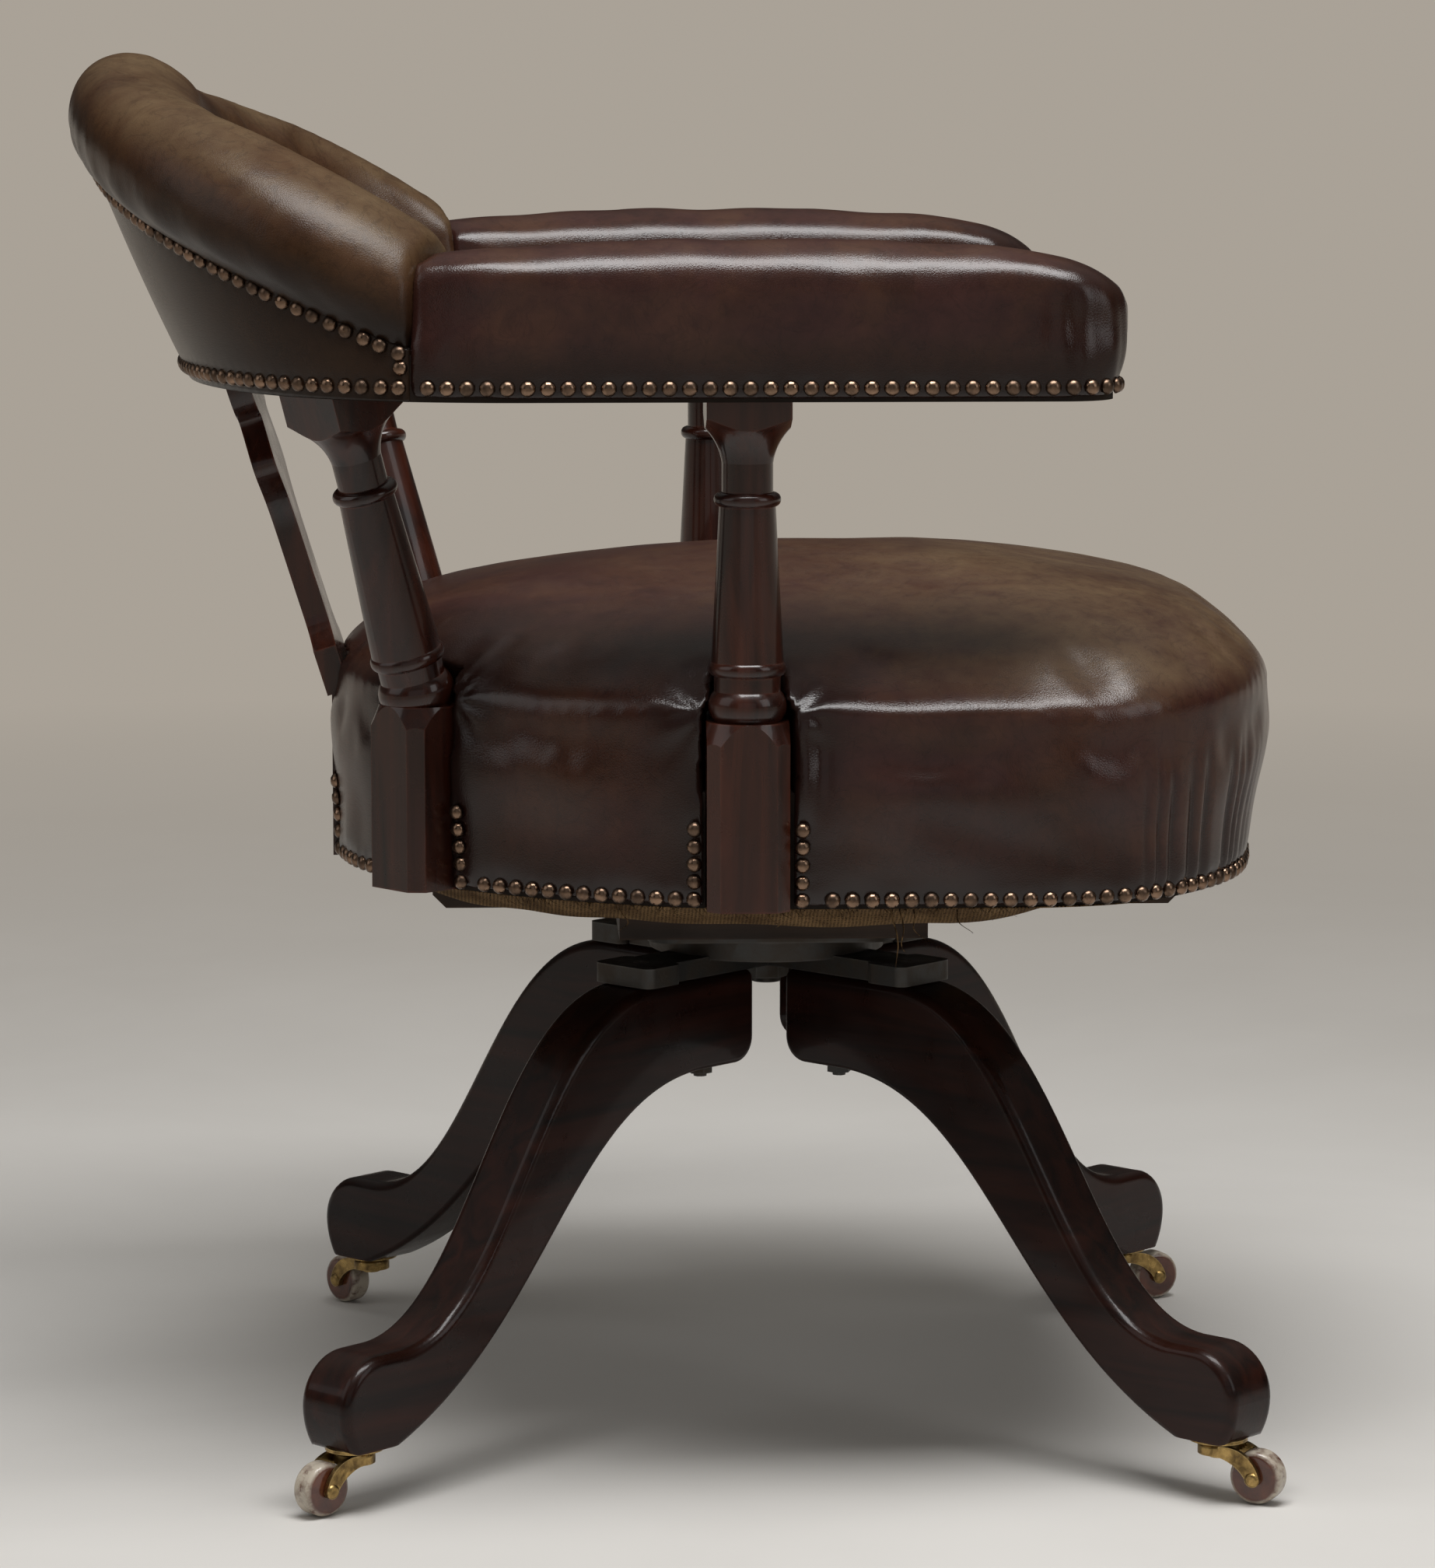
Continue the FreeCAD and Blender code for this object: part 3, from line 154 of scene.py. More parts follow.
def ramp(tree, source, low, high, low_value=0.0, high_value=1.0):
    """Spread a value's range low to high over low_value to high_value, held at both ends."""
    node = add_node(tree, "ShaderNodeMapRange", From_Min=low, From_Max=high, To_Min=low_value, To_Max=high_value)
    join(tree, source, (node, "Value"))
    return (node, 0)


def blend_colours(tree, share, first, second):
    """Mix two colours by a share; each colour is written out or is an output given as (node, socket)."""
    node = add_node(tree, "ShaderNodeMix", {"data_type": "RGBA"})
    for name, side in (("A", first), ("B", second)):
        socket = next(s for s in node.inputs if s.name == name and s.type == "RGBA")
        if isinstance(side[0], bpy.types.Node):
            tree.links.new(side[0].outputs[side[1]], socket)
        else:
            socket.default_value = (*side, 1.0)
    join(tree, share, (node, 0))
    return (node, next(k for k, s in enumerate(node.outputs) if s.type == "RGBA"))


print("helpers ready")

# %% [markdown]
# ## Shared effects
# Old furniture shows the same few effects on every material: cloudy colour where wax and dirt have
# gathered, edges rubbed bright by hands, and grain. Each is one node group, built once and given its own
# sizes in every finish. The groups give out only masks and heights, and the shader stays in the finish.

# %% Cloudy tone, rubbed edges and settled dust
cloudy, ins, outs = begin_group(
    "cloudy_tone", {"Scale": 20.0, "Low": 0.35, "High": 0.65}, {"Tone": "NodeSocketFloat"})
place = add_node(cloudy, "ShaderNodeTexCoord")
cloud = add_node(cloudy, "ShaderNodeTexNoise", Detail=5.0, Roughness=0.6, Distortion=0.4)
spread = add_node(cloudy, "ShaderNodeMapRange")
join(cloudy, (place, "Object"), (cloud, "Vector"))
join(cloudy, (ins, "Scale"), (cloud, "Scale"))
join(cloudy, (cloud, 0), (spread, "Value"))
join(cloudy, (ins, "Low"), (spread, "From Min"))
join(cloudy, (ins, "High"), (spread, "From Max"))
join(cloudy, (spread, 0), (outs, "Tone"))

rubbed, ins, outs = begin_group("rubbed_edges", {"Reach": 0.002, "Patch Scale": 60.0}, {"Mask": "NodeSocketFloat"})
rounded = add_node(rubbed, "ShaderNodeBevel", {"samples": 4})
join(rubbed, (ins, "Reach"), (rounded, "Radius"))
surface = add_node(rubbed, "ShaderNodeNewGeometry")
agree = add_node(rubbed, "ShaderNodeVectorMath", {"operation": "DOT_PRODUCT"})
join(rubbed, (rounded, 0), (agree, 0))
join(rubbed, (surface, "Normal"), (agree, 1))
edge = ramp(rubbed, (agree, "Value"), 0.995, 0.80)
place = add_node(rubbed, "ShaderNodeTexCoord")
patch = add_node(rubbed, "ShaderNodeTexNoise", Detail=3.0)
join(rubbed, (place, "Object"), (patch, "Vector"))
join(rubbed, (ins, "Patch Scale"), (patch, "Scale"))
join(rubbed, calculate(rubbed, "MULTIPLY", edge, ramp(rubbed, (patch, 0), 0.35, 0.6)), (outs, "Mask"))

dusty, ins, outs = begin_group("settled_dust", {"Patch Scale": 30.0, "Amount": 0.3}, {"Mask": "NodeSocketFloat"})
surface = add_node(dusty, "ShaderNodeNewGeometry")
upward = add_node(dusty, "ShaderNodeSeparateXYZ")
join(dusty, (surface, "Normal"), (upward, 0))
place = add_node(dusty, "ShaderNodeTexCoord")
patch = add_node(dusty, "ShaderNodeTexNoise", Detail=6.0, Roughness=0.7)
join(dusty, (place, "Object"), (patch, "Vector"))
join(dusty, (ins, "Patch Scale"), (patch, "Scale"))
lying = calculate(dusty, "MULTIPLY", ramp(dusty, (upward, "Z"), 0.3, 0.95), ramp(dusty, (patch, 0), 0.4, 0.7))
join(dusty, calculate(dusty, "MULTIPLY", lying, (ins, "Amount")), (outs, "Mask"))
print("groups:", [g.name for g in bpy.data.node_groups])

# %% [markdown]
# ## Timber
# The legs and posts are dark mahogany under many coats of polish: nearly black, with a red-brown glow where
# the polish is thin and along rubbed edges. Grain is noise stretched along the timber, so each piece needs
# the direction of its own grain. A Mapping node turns the pattern, and the group works in grain lengths.

# %% Mahogany and frame timber
figure, ins, outs = begin_group("wood_figure", {}, {"Tone": "NodeSocketFloat", "Pores": "NodeSocketFloat"})
figure.interface.new_socket(name="Grain Place", in_out="INPUT", socket_type="NodeSocketVector")
bands = add_node(figure, "ShaderNodeTexNoise", Scale=1.0, Detail=5.0, Roughness=0.55, Distortion=0.8)
fibres = add_node(figure, "ShaderNodeTexNoise", Scale=6.0, Detail=3.0, Roughness=0.6)
for texture in (bands, fibres):
    join(figure, (ins, "Grain Place"), (texture, "Vector"))
join(figure, ramp(figure, (bands, 0), 0.3, 0.7), (outs, "Tone"))
join(figure, (fibres, 0), (outs, "Pores"))


def timber(name, turn, stretch, dark, light, shine, gloss, polish, rub):
    """Polished timber: stretched grain mixes two browns, edges are rubbed lighter, dust lies on top."""
    material, tree, shader = begin_finish(name, Coat_Weight=polish, Coat_Roughness=0.08, Specular_IOR_Level=gloss)
    place = add_node(tree, "ShaderNodeTexCoord")
    along = add_node(tree, "ShaderNodeMapping", {"vector_type": "TEXTURE"}, Rotation=turn, Scale=stretch)
    join(tree, (place, "Object"), (along, "Vector"))
    grain = use_group(tree, figure)
    join(tree, (along, 0), (grain, "Grain Place"))
    worn = use_group(tree, rubbed, Reach=0.0025, Patch_Scale=55.0)
    dust = use_group(tree, dusty, Patch_Scale=45.0, Amount=0.04)
    colour = blend_colours(tree, (grain, "Tone"), dark, light)
    rubbed_tone = tuple(3.2 * c for c in light)
    colour = blend_colours(tree, calculate(tree, "MULTIPLY", (worn, "Mask"), rub), colour, rubbed_tone)
    colour = blend_colours(tree, (dust, "Mask"), colour, (0.11, 0.09, 0.07))
    join(tree, colour, (shader, "Base Color"))
    patchy = use_group(tree, cloudy, Scale=25.0)
    join(tree, ramp(tree, (patchy, "Tone"), 0.0, 1.0, shine, shine + 0.16), (shader, "Roughness"))
    bump = add_node(tree, "ShaderNodeBump", Strength=0.12, Distance=0.0006)
    join(tree, (grain, "Pores"), (bump, "Height"))
    join(tree, (bump, 0), (shader, "Normal"))
    return material


quarter_turn = math.pi / 4
grain_long, grain_fine = 0.16, 0.014
mahogany_dark, mahogany_red = (0.0042, 0.0014, 0.0010), (0.024, 0.0062, 0.0034)
along_leg = (grain_long, grain_fine, grain_fine)
upright = (grain_fine, grain_fine, grain_long)
leg_polish = {"dark": mahogany_dark, "light": mahogany_red, "shine": 0.24, "gloss": 0.16, "polish": 0.2, "rub": 0.55}
mahogany_leg = timber("mahogany_leg", (0, 0, quarter_turn), along_leg, **leg_polish)
mahogany_leg_across = timber("mahogany_leg_across", (0, 0, -quarter_turn), along_leg, **leg_polish)
mahogany_upright = timber(
    "mahogany_upright", (0, 0, 0), upright, dark=(0.0066, 0.0017, 0.0011), light=(0.044, 0.0105, 0.0050),
    shine=0.2, gloss=0.3, polish=0.4, rub=0.55)
bearer_timber = timber(
    "bearer_timber", (0, 0, 0), along_leg, dark=(0.014, 0.008, 0.005), light=(0.036, 0.020, 0.012),
    shine=0.55, gloss=0.3, polish=0.0, rub=0.3)
frame_timber = timber(
    "frame_timber", (0, 0, 0), along_leg, dark=(0.008, 0.005, 0.0035), light=(0.018, 0.011, 0.007),
    shine=0.7, gloss=0.2, polish=0.0, rub=0.0)
print("timber:", mahogany_upright.name, bearer_timber.name)

# %% [markdown]
# ## Metal and pot
# The swivel is rough black iron, the castors are old brass gone brown in the hollows, the nails are
# bronzed domes whose tops are polished, and the castor wheels are brown glazed pot chipped to white.
# All use the same cloudy and rubbed groups with their own sizes.

# %% Iron, steel, brass, bronze and pot
def aged_metal(name, base, tarnish, polished, rough, cloud_size, reach, metallic, relief=0.25):
    """Metal: cloudy tarnish over a base colour, edges rubbed to the polished colour; tarnish is rougher."""
    material, tree, shader = begin_finish(name, Metallic=metallic)
    clouds = use_group(tree, cloudy, Scale=cloud_size, Low=0.38, High=0.62)
    worn = use_group(tree, rubbed, Reach=reach, Patch_Scale=cloud_size)
    colour = blend_colours(tree, (clouds, "Tone"), base, tarnish)
    colour = blend_colours(tree, calculate(tree, "MULTIPLY", (worn, "Mask"), 0.8), colour, polished)
    join(tree, colour, (shader, "Base Color"))
    join(tree, ramp(tree, (clouds, "Tone"), 0.0, 1.0, rough, rough + 0.2), (shader, "Roughness"))
    grit = use_group(tree, cloudy, Scale=cloud_size * 8, Low=0.2, High=0.8)
    bump = add_node(tree, "ShaderNodeBump", Strength=relief, Distance=0.0004)
    join(tree, (grit, "Tone"), (bump, "Height"))
    join(tree, (bump, 0), (shader, "Normal"))
    return material


black_iron = aged_metal(
    "black_iron", (0.055, 0.054, 0.052), (0.060, 0.048, 0.038), (0.12, 0.115, 0.11),
    rough=0.42, cloud_size=45.0, reach=0.002, metallic=0.75)
screw_steel = aged_metal(
    "screw_steel", (0.20, 0.19, 0.18), (0.09, 0.075, 0.06), (0.45, 0.44, 0.42),
    rough=0.35, cloud_size=120.0, reach=0.0006, metallic=1.0)
castor_brass = aged_metal(
    "castor_brass", (0.46, 0.31, 0.115), (0.15, 0.098, 0.042), (0.66, 0.50, 0.24),
    rough=0.24, cloud_size=110.0, reach=0.0012, metallic=1.0)
nail_bronze = aged_metal(
    "nail_bronze", (0.25, 0.160, 0.108), (0.09, 0.060, 0.043), (0.45, 0.31, 0.21),
    rough=0.18, cloud_size=70.0, reach=0.0004, metallic=1.0, relief=0.02)


def wheel_pot(name, joint):
    """Glazed pot wheel: brown at the hub, worn to white where the distance from the axle reaches the tread."""
    material, tree, shader = begin_finish(name, Coat_Weight=0.5, Coat_Roughness=0.12)
    centre, axis = np.array(joint["pos_m"], dtype=float), np.array(joint["axis"], dtype=float)
    place = add_node(tree, "ShaderNodeTexCoord")
    apart = add_node(tree, "ShaderNodeVectorMath", {"operation": "SUBTRACT"})
    apart.inputs[1].default_value = centre
    across = add_node(tree, "ShaderNodeVectorMath", {"operation": "CROSS_PRODUCT"})
    across.inputs[1].default_value = axis
    reach = add_node(tree, "ShaderNodeVectorMath", {"operation": "LENGTH"})
    join(tree, (place, "Object"), (apart, 0))
    join(tree, (apart, 0), (across, 0))
    join(tree, (across, 0), (reach, 0))
    firing = use_group(tree, cloudy, Scale=70.0)
    chips = use_group(tree, cloudy, Scale=160.0, Low=0.3, High=0.55)
    tread = calculate(tree, "MULTIPLY", ramp(tree, (reach, "Value"), 0.0128, 0.0146), (chips, "Tone"))
    glaze = blend_colours(tree, (firing, "Tone"), (0.050, 0.013, 0.007), (0.120, 0.034, 0.016))
    join(tree, blend_colours(tree, tread, glaze, (0.46, 0.40, 0.32)), (shader, "Base Color"))
    join(tree, ramp(tree, tread, 0.0, 1.0, 0.15, 0.6), (shader, "Roughness"))
    return material


wheel_joints = {j["name"][len("wheel_spin_"):]: j for j in frame["joints"] if j["name"].startswith("wheel_spin_")}
pots = {p: wheel_pot(f"glazed_pot_{p}", joint) for p, joint in wheel_joints.items()}
print("metal and pot:", black_iron.name, castor_brass.name, nail_bronze.name, list(pots))

# %% [markdown]
# ## Leather
# The hide is dyed by hand: a dark chocolate that wear has opened to an olive tan on the seat, the arm tops
# and the crest. Where it is worn is a matter of shape, so each leather piece carries a number per point,
# called worn, and the finish mixes the two browns by it. The same number also carries painted light: where it
# is low, by hems, beside posts and in pleat valleys, the hide goes near-black as painted shade, and on the seat's
# pleat ridges and the back's crest it is raised as painted highlight, on the crest together with real wear. Fine
# pebbles and creases are bump, not mesh, and the crease lines are also darkened as painted shade.

# %% Hide with its grain, creases, worn tone and painted shade
skin, ins, outs = begin_group(
    "leather_skin", {"Pebble Scale": 700.0, "Crease Scale": 55.0},
    {"Height": "NodeSocketFloat", "Creases": "NodeSocketFloat"})
place = add_node(skin, "ShaderNodeTexCoord")
pebbles = add_node(skin, "ShaderNodeTexVoronoi", {"feature": "DISTANCE_TO_EDGE"})
lumps = add_node(skin, "ShaderNodeTexNoise", Detail=4.0, Roughness=0.6)
folds = add_node(skin, "ShaderNodeTexNoise", Detail=3.0, Roughness=0.5, Distortion=1.2)
for texture, size in ((pebbles, "Pebble Scale"), (lumps, "Pebble Scale"), (folds, "Crease Scale")):
    join(skin, (place, "Object"), (texture, "Vector"))
    join(skin, (ins, size), (texture, "Scale"))
crease_line = calculate(skin, "ABSOLUTE", calculate(skin, "SUBTRACT", (folds, 0), 0.5), 0.0)
crease = ramp(skin, crease_line, 0.03, 0.0)
lump_height = calculate(skin, "MULTIPLY", (lumps, 0), 0.8)
grain_height = calculate(skin, "ADD", ramp(skin, (pebbles, 0), 0.0, 0.3), lump_height)
join(skin, calculate(skin, "SUBTRACT", grain_height, calculate(skin, "MULTIPLY", crease, 0.5)), (outs, "Height"))
join(skin, crease, (outs, "Creases"))


def hide(name, dye, warm_dye, worn_tone, shine, gloss):
    """Leather: the worn number, broken up by clouds, runs from a near-black of grime and painted shade through the dye
    to a tan, and crease lines are darkened towards that near-black as painted shade; the dull number takes the polish
    off."""
    material, tree, shader = begin_finish(name, Specular_IOR_Level=gloss)
    worn = add_node(tree, "ShaderNodeAttribute", {"attribute_name": "worn"})
    dull = add_node(tree, "ShaderNodeAttribute", {"attribute_name": "dull"})
    grain = use_group(tree, skin)
    broad = use_group(tree, cloudy, Scale=11.0, Low=0.3, High=0.7)
    small = use_group(tree, cloudy, Scale=85.0, Low=0.3, High=0.7)
    broad_wear = ramp(tree, (broad, "Tone"), 0, 1, 0.45, 1.15)
    break_up = calculate(tree, "ADD", broad_wear, ramp(tree, (small, "Tone"), 0, 1, -0.16, 0.2))
    share = calculate(tree, "MULTIPLY", (worn, "Fac"), break_up)
    # A near-black of the dye: painted shade where the worn number is low, together with some grime.
    shade_and_grime = tuple(0.22 * c for c in dye)
    patches = use_group(tree, cloudy, Scale=17.0, Low=0.4, High=0.62)
    dyed = blend_colours(tree, (patches, "Tone"), dye, warm_dye)
    colour = blend_colours(tree, ramp(tree, share, 0.0, 0.2), shade_and_grime, dyed)
    colour = blend_colours(tree, ramp(tree, share, 0.2, 1.0), colour, worn_tone)
    # Crease lines are darkened a quarter of the way to that near-black as painted shade.
    colour = blend_colours(tree, calculate(tree, "MULTIPLY", (grain, "Creases"), 0.25), colour, shade_and_grime)
    join(tree, colour, (shader, "Base Color"))
    polish = ramp(tree, (broad, "Tone"), 0.0, 1.0, shine, shine + 0.08)
    dulled = calculate(tree, "MULTIPLY", (dull, "Fac"), 0.12)
    join(tree, calculate(tree, "ADD", polish, dulled), (shader, "Roughness"))
    bump = add_node(tree, "ShaderNodeBump", Strength=0.1, Distance=0.0005)
    join(tree, (grain, "Height"), (bump, "Height"))
    join(tree, (bump, 0), (shader, "Normal"))
    return material


seat_hide = hide(
    "seat_hide", dye=(0.0380, 0.0132, 0.0100), warm_dye=(0.0500, 0.0190, 0.0105),
    worn_tone=(0.130, 0.083, 0.042), shine=0.17, gloss=0.42)
arm_hide = hide(
    "arm_hide", dye=(0.0360, 0.0126, 0.0098), warm_dye=(0.0480, 0.0190, 0.0105),
    worn_tone=(0.115, 0.068, 0.038), shine=0.17, gloss=0.38)
back_hide = hide(
    "back_hide", dye=(0.0400, 0.0175, 0.0080), warm_dye=(0.0540, 0.0255, 0.0110),
    worn_tone=(0.125, 0.083, 0.042), shine=0.2, gloss=0.24)
print("hides:", seat_hide.name, arm_hide.name, back_hide.name)

# %% [markdown]
# ## Hessian
# Under the seat a coarse jute cloth keeps the dust in. Its weave is two crossed wave patterns, one for the
# warp and one for the weft, with threads about two millimetres apart and an uneven tan colour.

# %% Woven jute
jute, tree, shader = begin_finish("woven_jute", Roughness=0.95, Specular_IOR_Level=0.1)
place = add_node(tree, "ShaderNodeTexCoord")
threads = []
for direction in ("X", "Y"):
    wave = add_node(tree, "ShaderNodeTexWave", {"bands_direction": direction},
                    Scale=150.0, Distortion=2.5, Detail=2.0, Detail_Scale=3.0)
    join(tree, (place, "Object"), (wave, "Vector"))
    threads.append((wave, "Fac"))
weave = calculate(tree, "MAXIMUM", *threads)
clouds = use_group(tree, cloudy, Scale=35.0)
fresh = blend_colours(tree, (clouds, "Tone"), (0.075, 0.042, 0.018), (0.175, 0.108, 0.050))
join(tree, blend_colours(tree, ramp(tree, weave, 0.25, 0.8), (0.022, 0.013, 0.007), fresh), (shader, "Base Color"))
bump = add_node(tree, "ShaderNodeBump", Strength=0.6, Distance=0.001)
join(tree, weave, (bump, "Height"))
join(tree, (bump, 0), (shader, "Normal"))
print("cloth:", jute.name)

# %% [markdown]
# ## Finishes on the frame
# The carried-over nodes keep their shape and place, so only their material slots change here. The names
# of the nodes say what each one is made of, and the two pairs of legs differ only in their grain's direction.

# %% Give each node its finish
places = ("front_right", "rear_right", "rear_left", "front_left")
finishes = {
    mahogany_leg: ["leg_front_left", "leg_rear_right"],
    mahogany_leg_across: ["leg_front_right", "leg_rear_left"],
    mahogany_upright: ["back_splat"] + [f"post_{p}" for p in places],
    bearer_timber: ["swivel_block", "seat_bearer_left", "seat_bearer_right"],
    frame_timber: ["seat_frame", "back_rail", "back_board", "arm_rail_left", "arm_rail_right"],
    black_iron: ["swivel_spider", "swivel_plate", "pivot_pin", "pivot_nut", "leg_bolts", "leg_nuts", "seat_springs"],
    screw_steel: ["castor_screws", "leg_screws", "swivel_plate_screws", "bearer_screws", "post_screws"],
    castor_brass: [f"castor_{piece}_{p}" for piece in ("plate", "fork", "axle") for p in places],
    **{pots[p]: [f"castor_wheel_{p}"] for p in places},
    jute: ["seat_webbing", "seat_hessian"],
    seat_hide: ["seat_cover", "seat_stuffing"],
    arm_hide: [f"arm_{piece}_{side}" for piece in ("cover", "stuffing") for side in ("left", "right")],
    back_hide: ["back_stuffing", "back_inside_cover", "back_outside_cover"],
    nail_bronze: ["seat_nails", "arm_nails_left", "arm_nails_right", "back_nails"],
}
dressed = 0
for finish, names in finishes.items():
    for name in names:
        for slot in nodes[name].material_slots:
            slot.material = finish
        dressed += 1
print("finished nodes:", dressed, "of", len(nodes))

# %% [markdown]
# ## Floor and light
# A plain pale floor and soft light show the leather's long highlights. The seat's shoulder and the arm's top
# edge shine in the photograph because of a wide light overhead, so the main lamp is a broad panel above, and
# weaker panels fill the front and both sides. The room round it is dim at eye level and paler overhead, so the
# tops of the pads keep their deep brown.

# %% Floor, lamps and world
floor_radius = 80.0
backdrop_tone = (0.40, 0.360, 0.310)
angle = np.linspace(0, 2 * np.pi, 97)[:-1]
reach = np.concatenate([[0.02], np.geomspace(0.2, floor_radius, 30)])
ring = np.stack([np.cos(angle), np.sin(angle), np.zeros_like(angle)], axis=1)
floor_points = (reach[:, None, None] * ring[None]).reshape(-1, 3)


def grid_faces(rows, columns, closed=False):
    """Quads of a grid of rows by columns, row by row; closed joins the last column to the first."""
    across = columns if closed else columns - 1
    row, column = np.meshgrid(np.arange(rows - 1), np.arange(across), indexing="ij")
    after = (column + 1) % columns
    here, below = row * columns, (row + 1) * columns
    return np.stack([here + column, here + after, below + after, below + column], axis=-1).reshape(-1, 4)


def make_piece(name, points, faces, finish):
    """A mesh object at the origin from an array of points and a list of faces, with one finish."""
    mesh = bpy.data.meshes.new(name)
    mesh.from_pydata(np.asarray(points).tolist(), [], [list(map(int, f)) for f in faces])
    mesh.validate()
    mesh.materials.append(finish)
    mesh.shade_smooth()
    piece = bpy.data.objects.new(name, mesh)
    scene.collection.objects.link(piece)
    return piece


floor_finish, tree, shader = begin_finish("pale_floor", Roughness=0.7)
clouds = use_group(tree, cloudy, Scale=1.4)
join(tree, blend_colours(tree, (clouds, "Tone"), (0.60, 0.58, 0.55), (0.65, 0.63, 0.60)), (shader, "Base Color"))
place = add_node(tree, "ShaderNodeTexCoord")
away = add_node(tree, "ShaderNodeVectorMath", {"operation": "LENGTH"})
join(tree, (place, "Object"), (away, 0))
haze = add_node(tree, "ShaderNodeEmission", Color=(*backdrop_tone, 1.0), Strength=1.0)
fade = add_node(tree, "ShaderNodeMixShader")
surface = next(n for n in tree.nodes if n.type == "OUTPUT_MATERIAL")
join(tree, ramp(tree, (away, "Value"), 0.7, 3.6), (fade, 0))
join(tree, (shader, 0), (fade, 1))
join(tree, (haze, 0), (fade, 2))
join(tree, (fade, 0), (surface, "Surface"))
floor_faces = grid_faces(len(reach), len(angle), closed=True)[:, ::-1].tolist() + [list(range(len(angle)))]
floor = make_piece("floor", floor_points - [0, 0, 0.0005], floor_faces, floor_finish)
floor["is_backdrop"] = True


def panel_lamp(name, place, aim, size, power):
    """A soft rectangular lamp at a place, facing a point."""
    data = bpy.data.lights.new(name, "AREA")
    data.shape = "RECTANGLE"
    data.size, data.size_y = size
    data.energy = power
    lamp = bpy.data.objects.new(name, data)
    direction = np.array(aim) - np.array(place)
    lamp.location = place
    lamp.rotation_euler = (math.atan2(math.hypot(direction[0], direction[1]), -direction[2]), 0.0,
                           math.atan2(direction[1], direction[0]) - math.pi / 2)
    scene.collection.objects.link(lamp)


panel_lamp("overhead_panel", (0.1, -0.7, 2.7), (0.0, 0.0, 0.5), (1.8, 1.0), 72.0)
panel_lamp("front_panel", (-0.3, -4.8, 1.7), (0.0, 0.0, 0.6), (4.5, 2.4), 9.0)
panel_lamp("right_panel", (2.6, -2.0, 1.9), (0.0, 0.0, 0.5), (1.6, 2.0), 15.0)
panel_lamp("left_panel", (-2.9, -0.9, 2.0), (0.0, 0.0, 0.5), (2.2, 2.2), 12.0)
world = bpy.data.worlds.new("studio_room")
world.use_nodes = True
room = world.node_tree
background = next(n for n in room.nodes if n.type == "BACKGROUND")
look = add_node(room, "ShaderNodeTexCoord")
height = add_node(room, "ShaderNodeSeparateXYZ")
join(room, (look, "Generated"), (height, 0))
walls = blend_colours(room, ramp(room, (height, "Z"), 0.006, 0.03), backdrop_tone, (0.04, 0.037, 0.034))
ceiling = ramp(room, (height, "Z"), 0.35, 0.95)
join(room, blend_colours(room, ceiling, walls, (0.34, 0.33, 0.31)), (background, "Color"))
scene.world = world
print("stage: floor", floor_radius, "m and four panels")

# %% [markdown]
# ## How the padding is swollen
# Stuffed leather is a skin with pressure behind it, held down at its nails. Each pad starts as a closed
# surface from numpy, close to its final size. A voxel remesh gives it an even skin, cloth with pressure
# blows it up while its hem stays pinned, and a cap keeps each point near its place. One subdivision then
# makes room for the folds and dents, which are moved along the surface normal afterwards.

# %% Remesh, pressure, cap and subdivide
def read_points(mesh):
    """All vertex places of a mesh as an array."""
    flat = np.empty(len(mesh.vertices) * 3)
    mesh.vertices.foreach_get("co", flat)
    return flat.reshape(-1, 3)


def write_points(mesh, points):
    """Put an array of places back into a mesh."""
    mesh.vertices.foreach_set("co", np.ascontiguousarray(points, dtype=np.float64).ravel())
    mesh.update()


def read_normals(mesh):
    """All vertex normals of a mesh as an array."""
    flat = np.empty(len(mesh.vertices) * 3)
    mesh.vertex_normals.foreach_get("vector", flat)
    return flat.reshape(-1, 3)


def bake_modifiers(piece):
    """Replace a piece's mesh by what its modifiers make of it, and remove them."""
    made = bpy.data.meshes.new_from_object(piece.evaluated_get(bpy.context.evaluated_depsgraph_get()))
    piece.modifiers.clear()
    piece.data = made
    made.name = piece.name
    return read_points(made)


swell_pressure, swell_frames = 4.0, 20


def swell(piece, held, cap, voxel):
    """Remesh a closed form, blow it up as cloth with the held points pinned, cap each move, and subdivide once."""
    remesh = piece.modifiers.new("even_skin", "REMESH")
    remesh.mode = "VOXEL"
    remesh.voxel_size = voxel
    before = bake_modifiers(piece)
    group = piece.vertex_groups.new(name="held")
    group.add(np.flatnonzero(held(before)).tolist(), 1.0, "REPLACE")
    cloth = piece.modifiers.new("pressure", "CLOTH")
    cloth.settings.use_pressure = True
    cloth.settings.uniform_pressure_force = swell_pressure
    cloth.settings.vertex_group_mass = group.name
    cloth.settings.effector_weights.gravity = 0.0
    cloth.settings.bending_stiffness = 4.0
    cloth.point_cache.frame_start, cloth.point_cache.frame_end = 1, swell_frames
    for number in range(1, swell_frames + 1):
        scene.frame_set(number)
    after = bake_modifiers(piece)
    scene.frame_set(1)
    move = after - before
    length = np.linalg.norm(move, axis=1, keepdims=True)
    write_points(piece.data, before + move * np.minimum(1.0, cap / np.maximum(length, 1e-9)))
    piece.vertex_groups.clear()
    print(piece.name, "swelled by up to", round(1000 * min(cap, float(length.max())), 1), "mm")
    even = piece.modifiers.new("even_pull", "SMOOTH")
    even.factor, even.iterations = 0.5, 8
    finer = piece.modifiers.new("finer_skin", "SUBSURF")
    finer.levels = finer.render_levels = 1
    bake_modifiers(piece)
    piece.data.shade_smooth()


def smooth_step(value, low, high):
    """0 below low, 1 above high, and an S-curve (three t squared less two t cubed) between."""
    t = np.clip((value - low) / (high - low), 0, 1)
    return t * t * (3 - 2 * t)


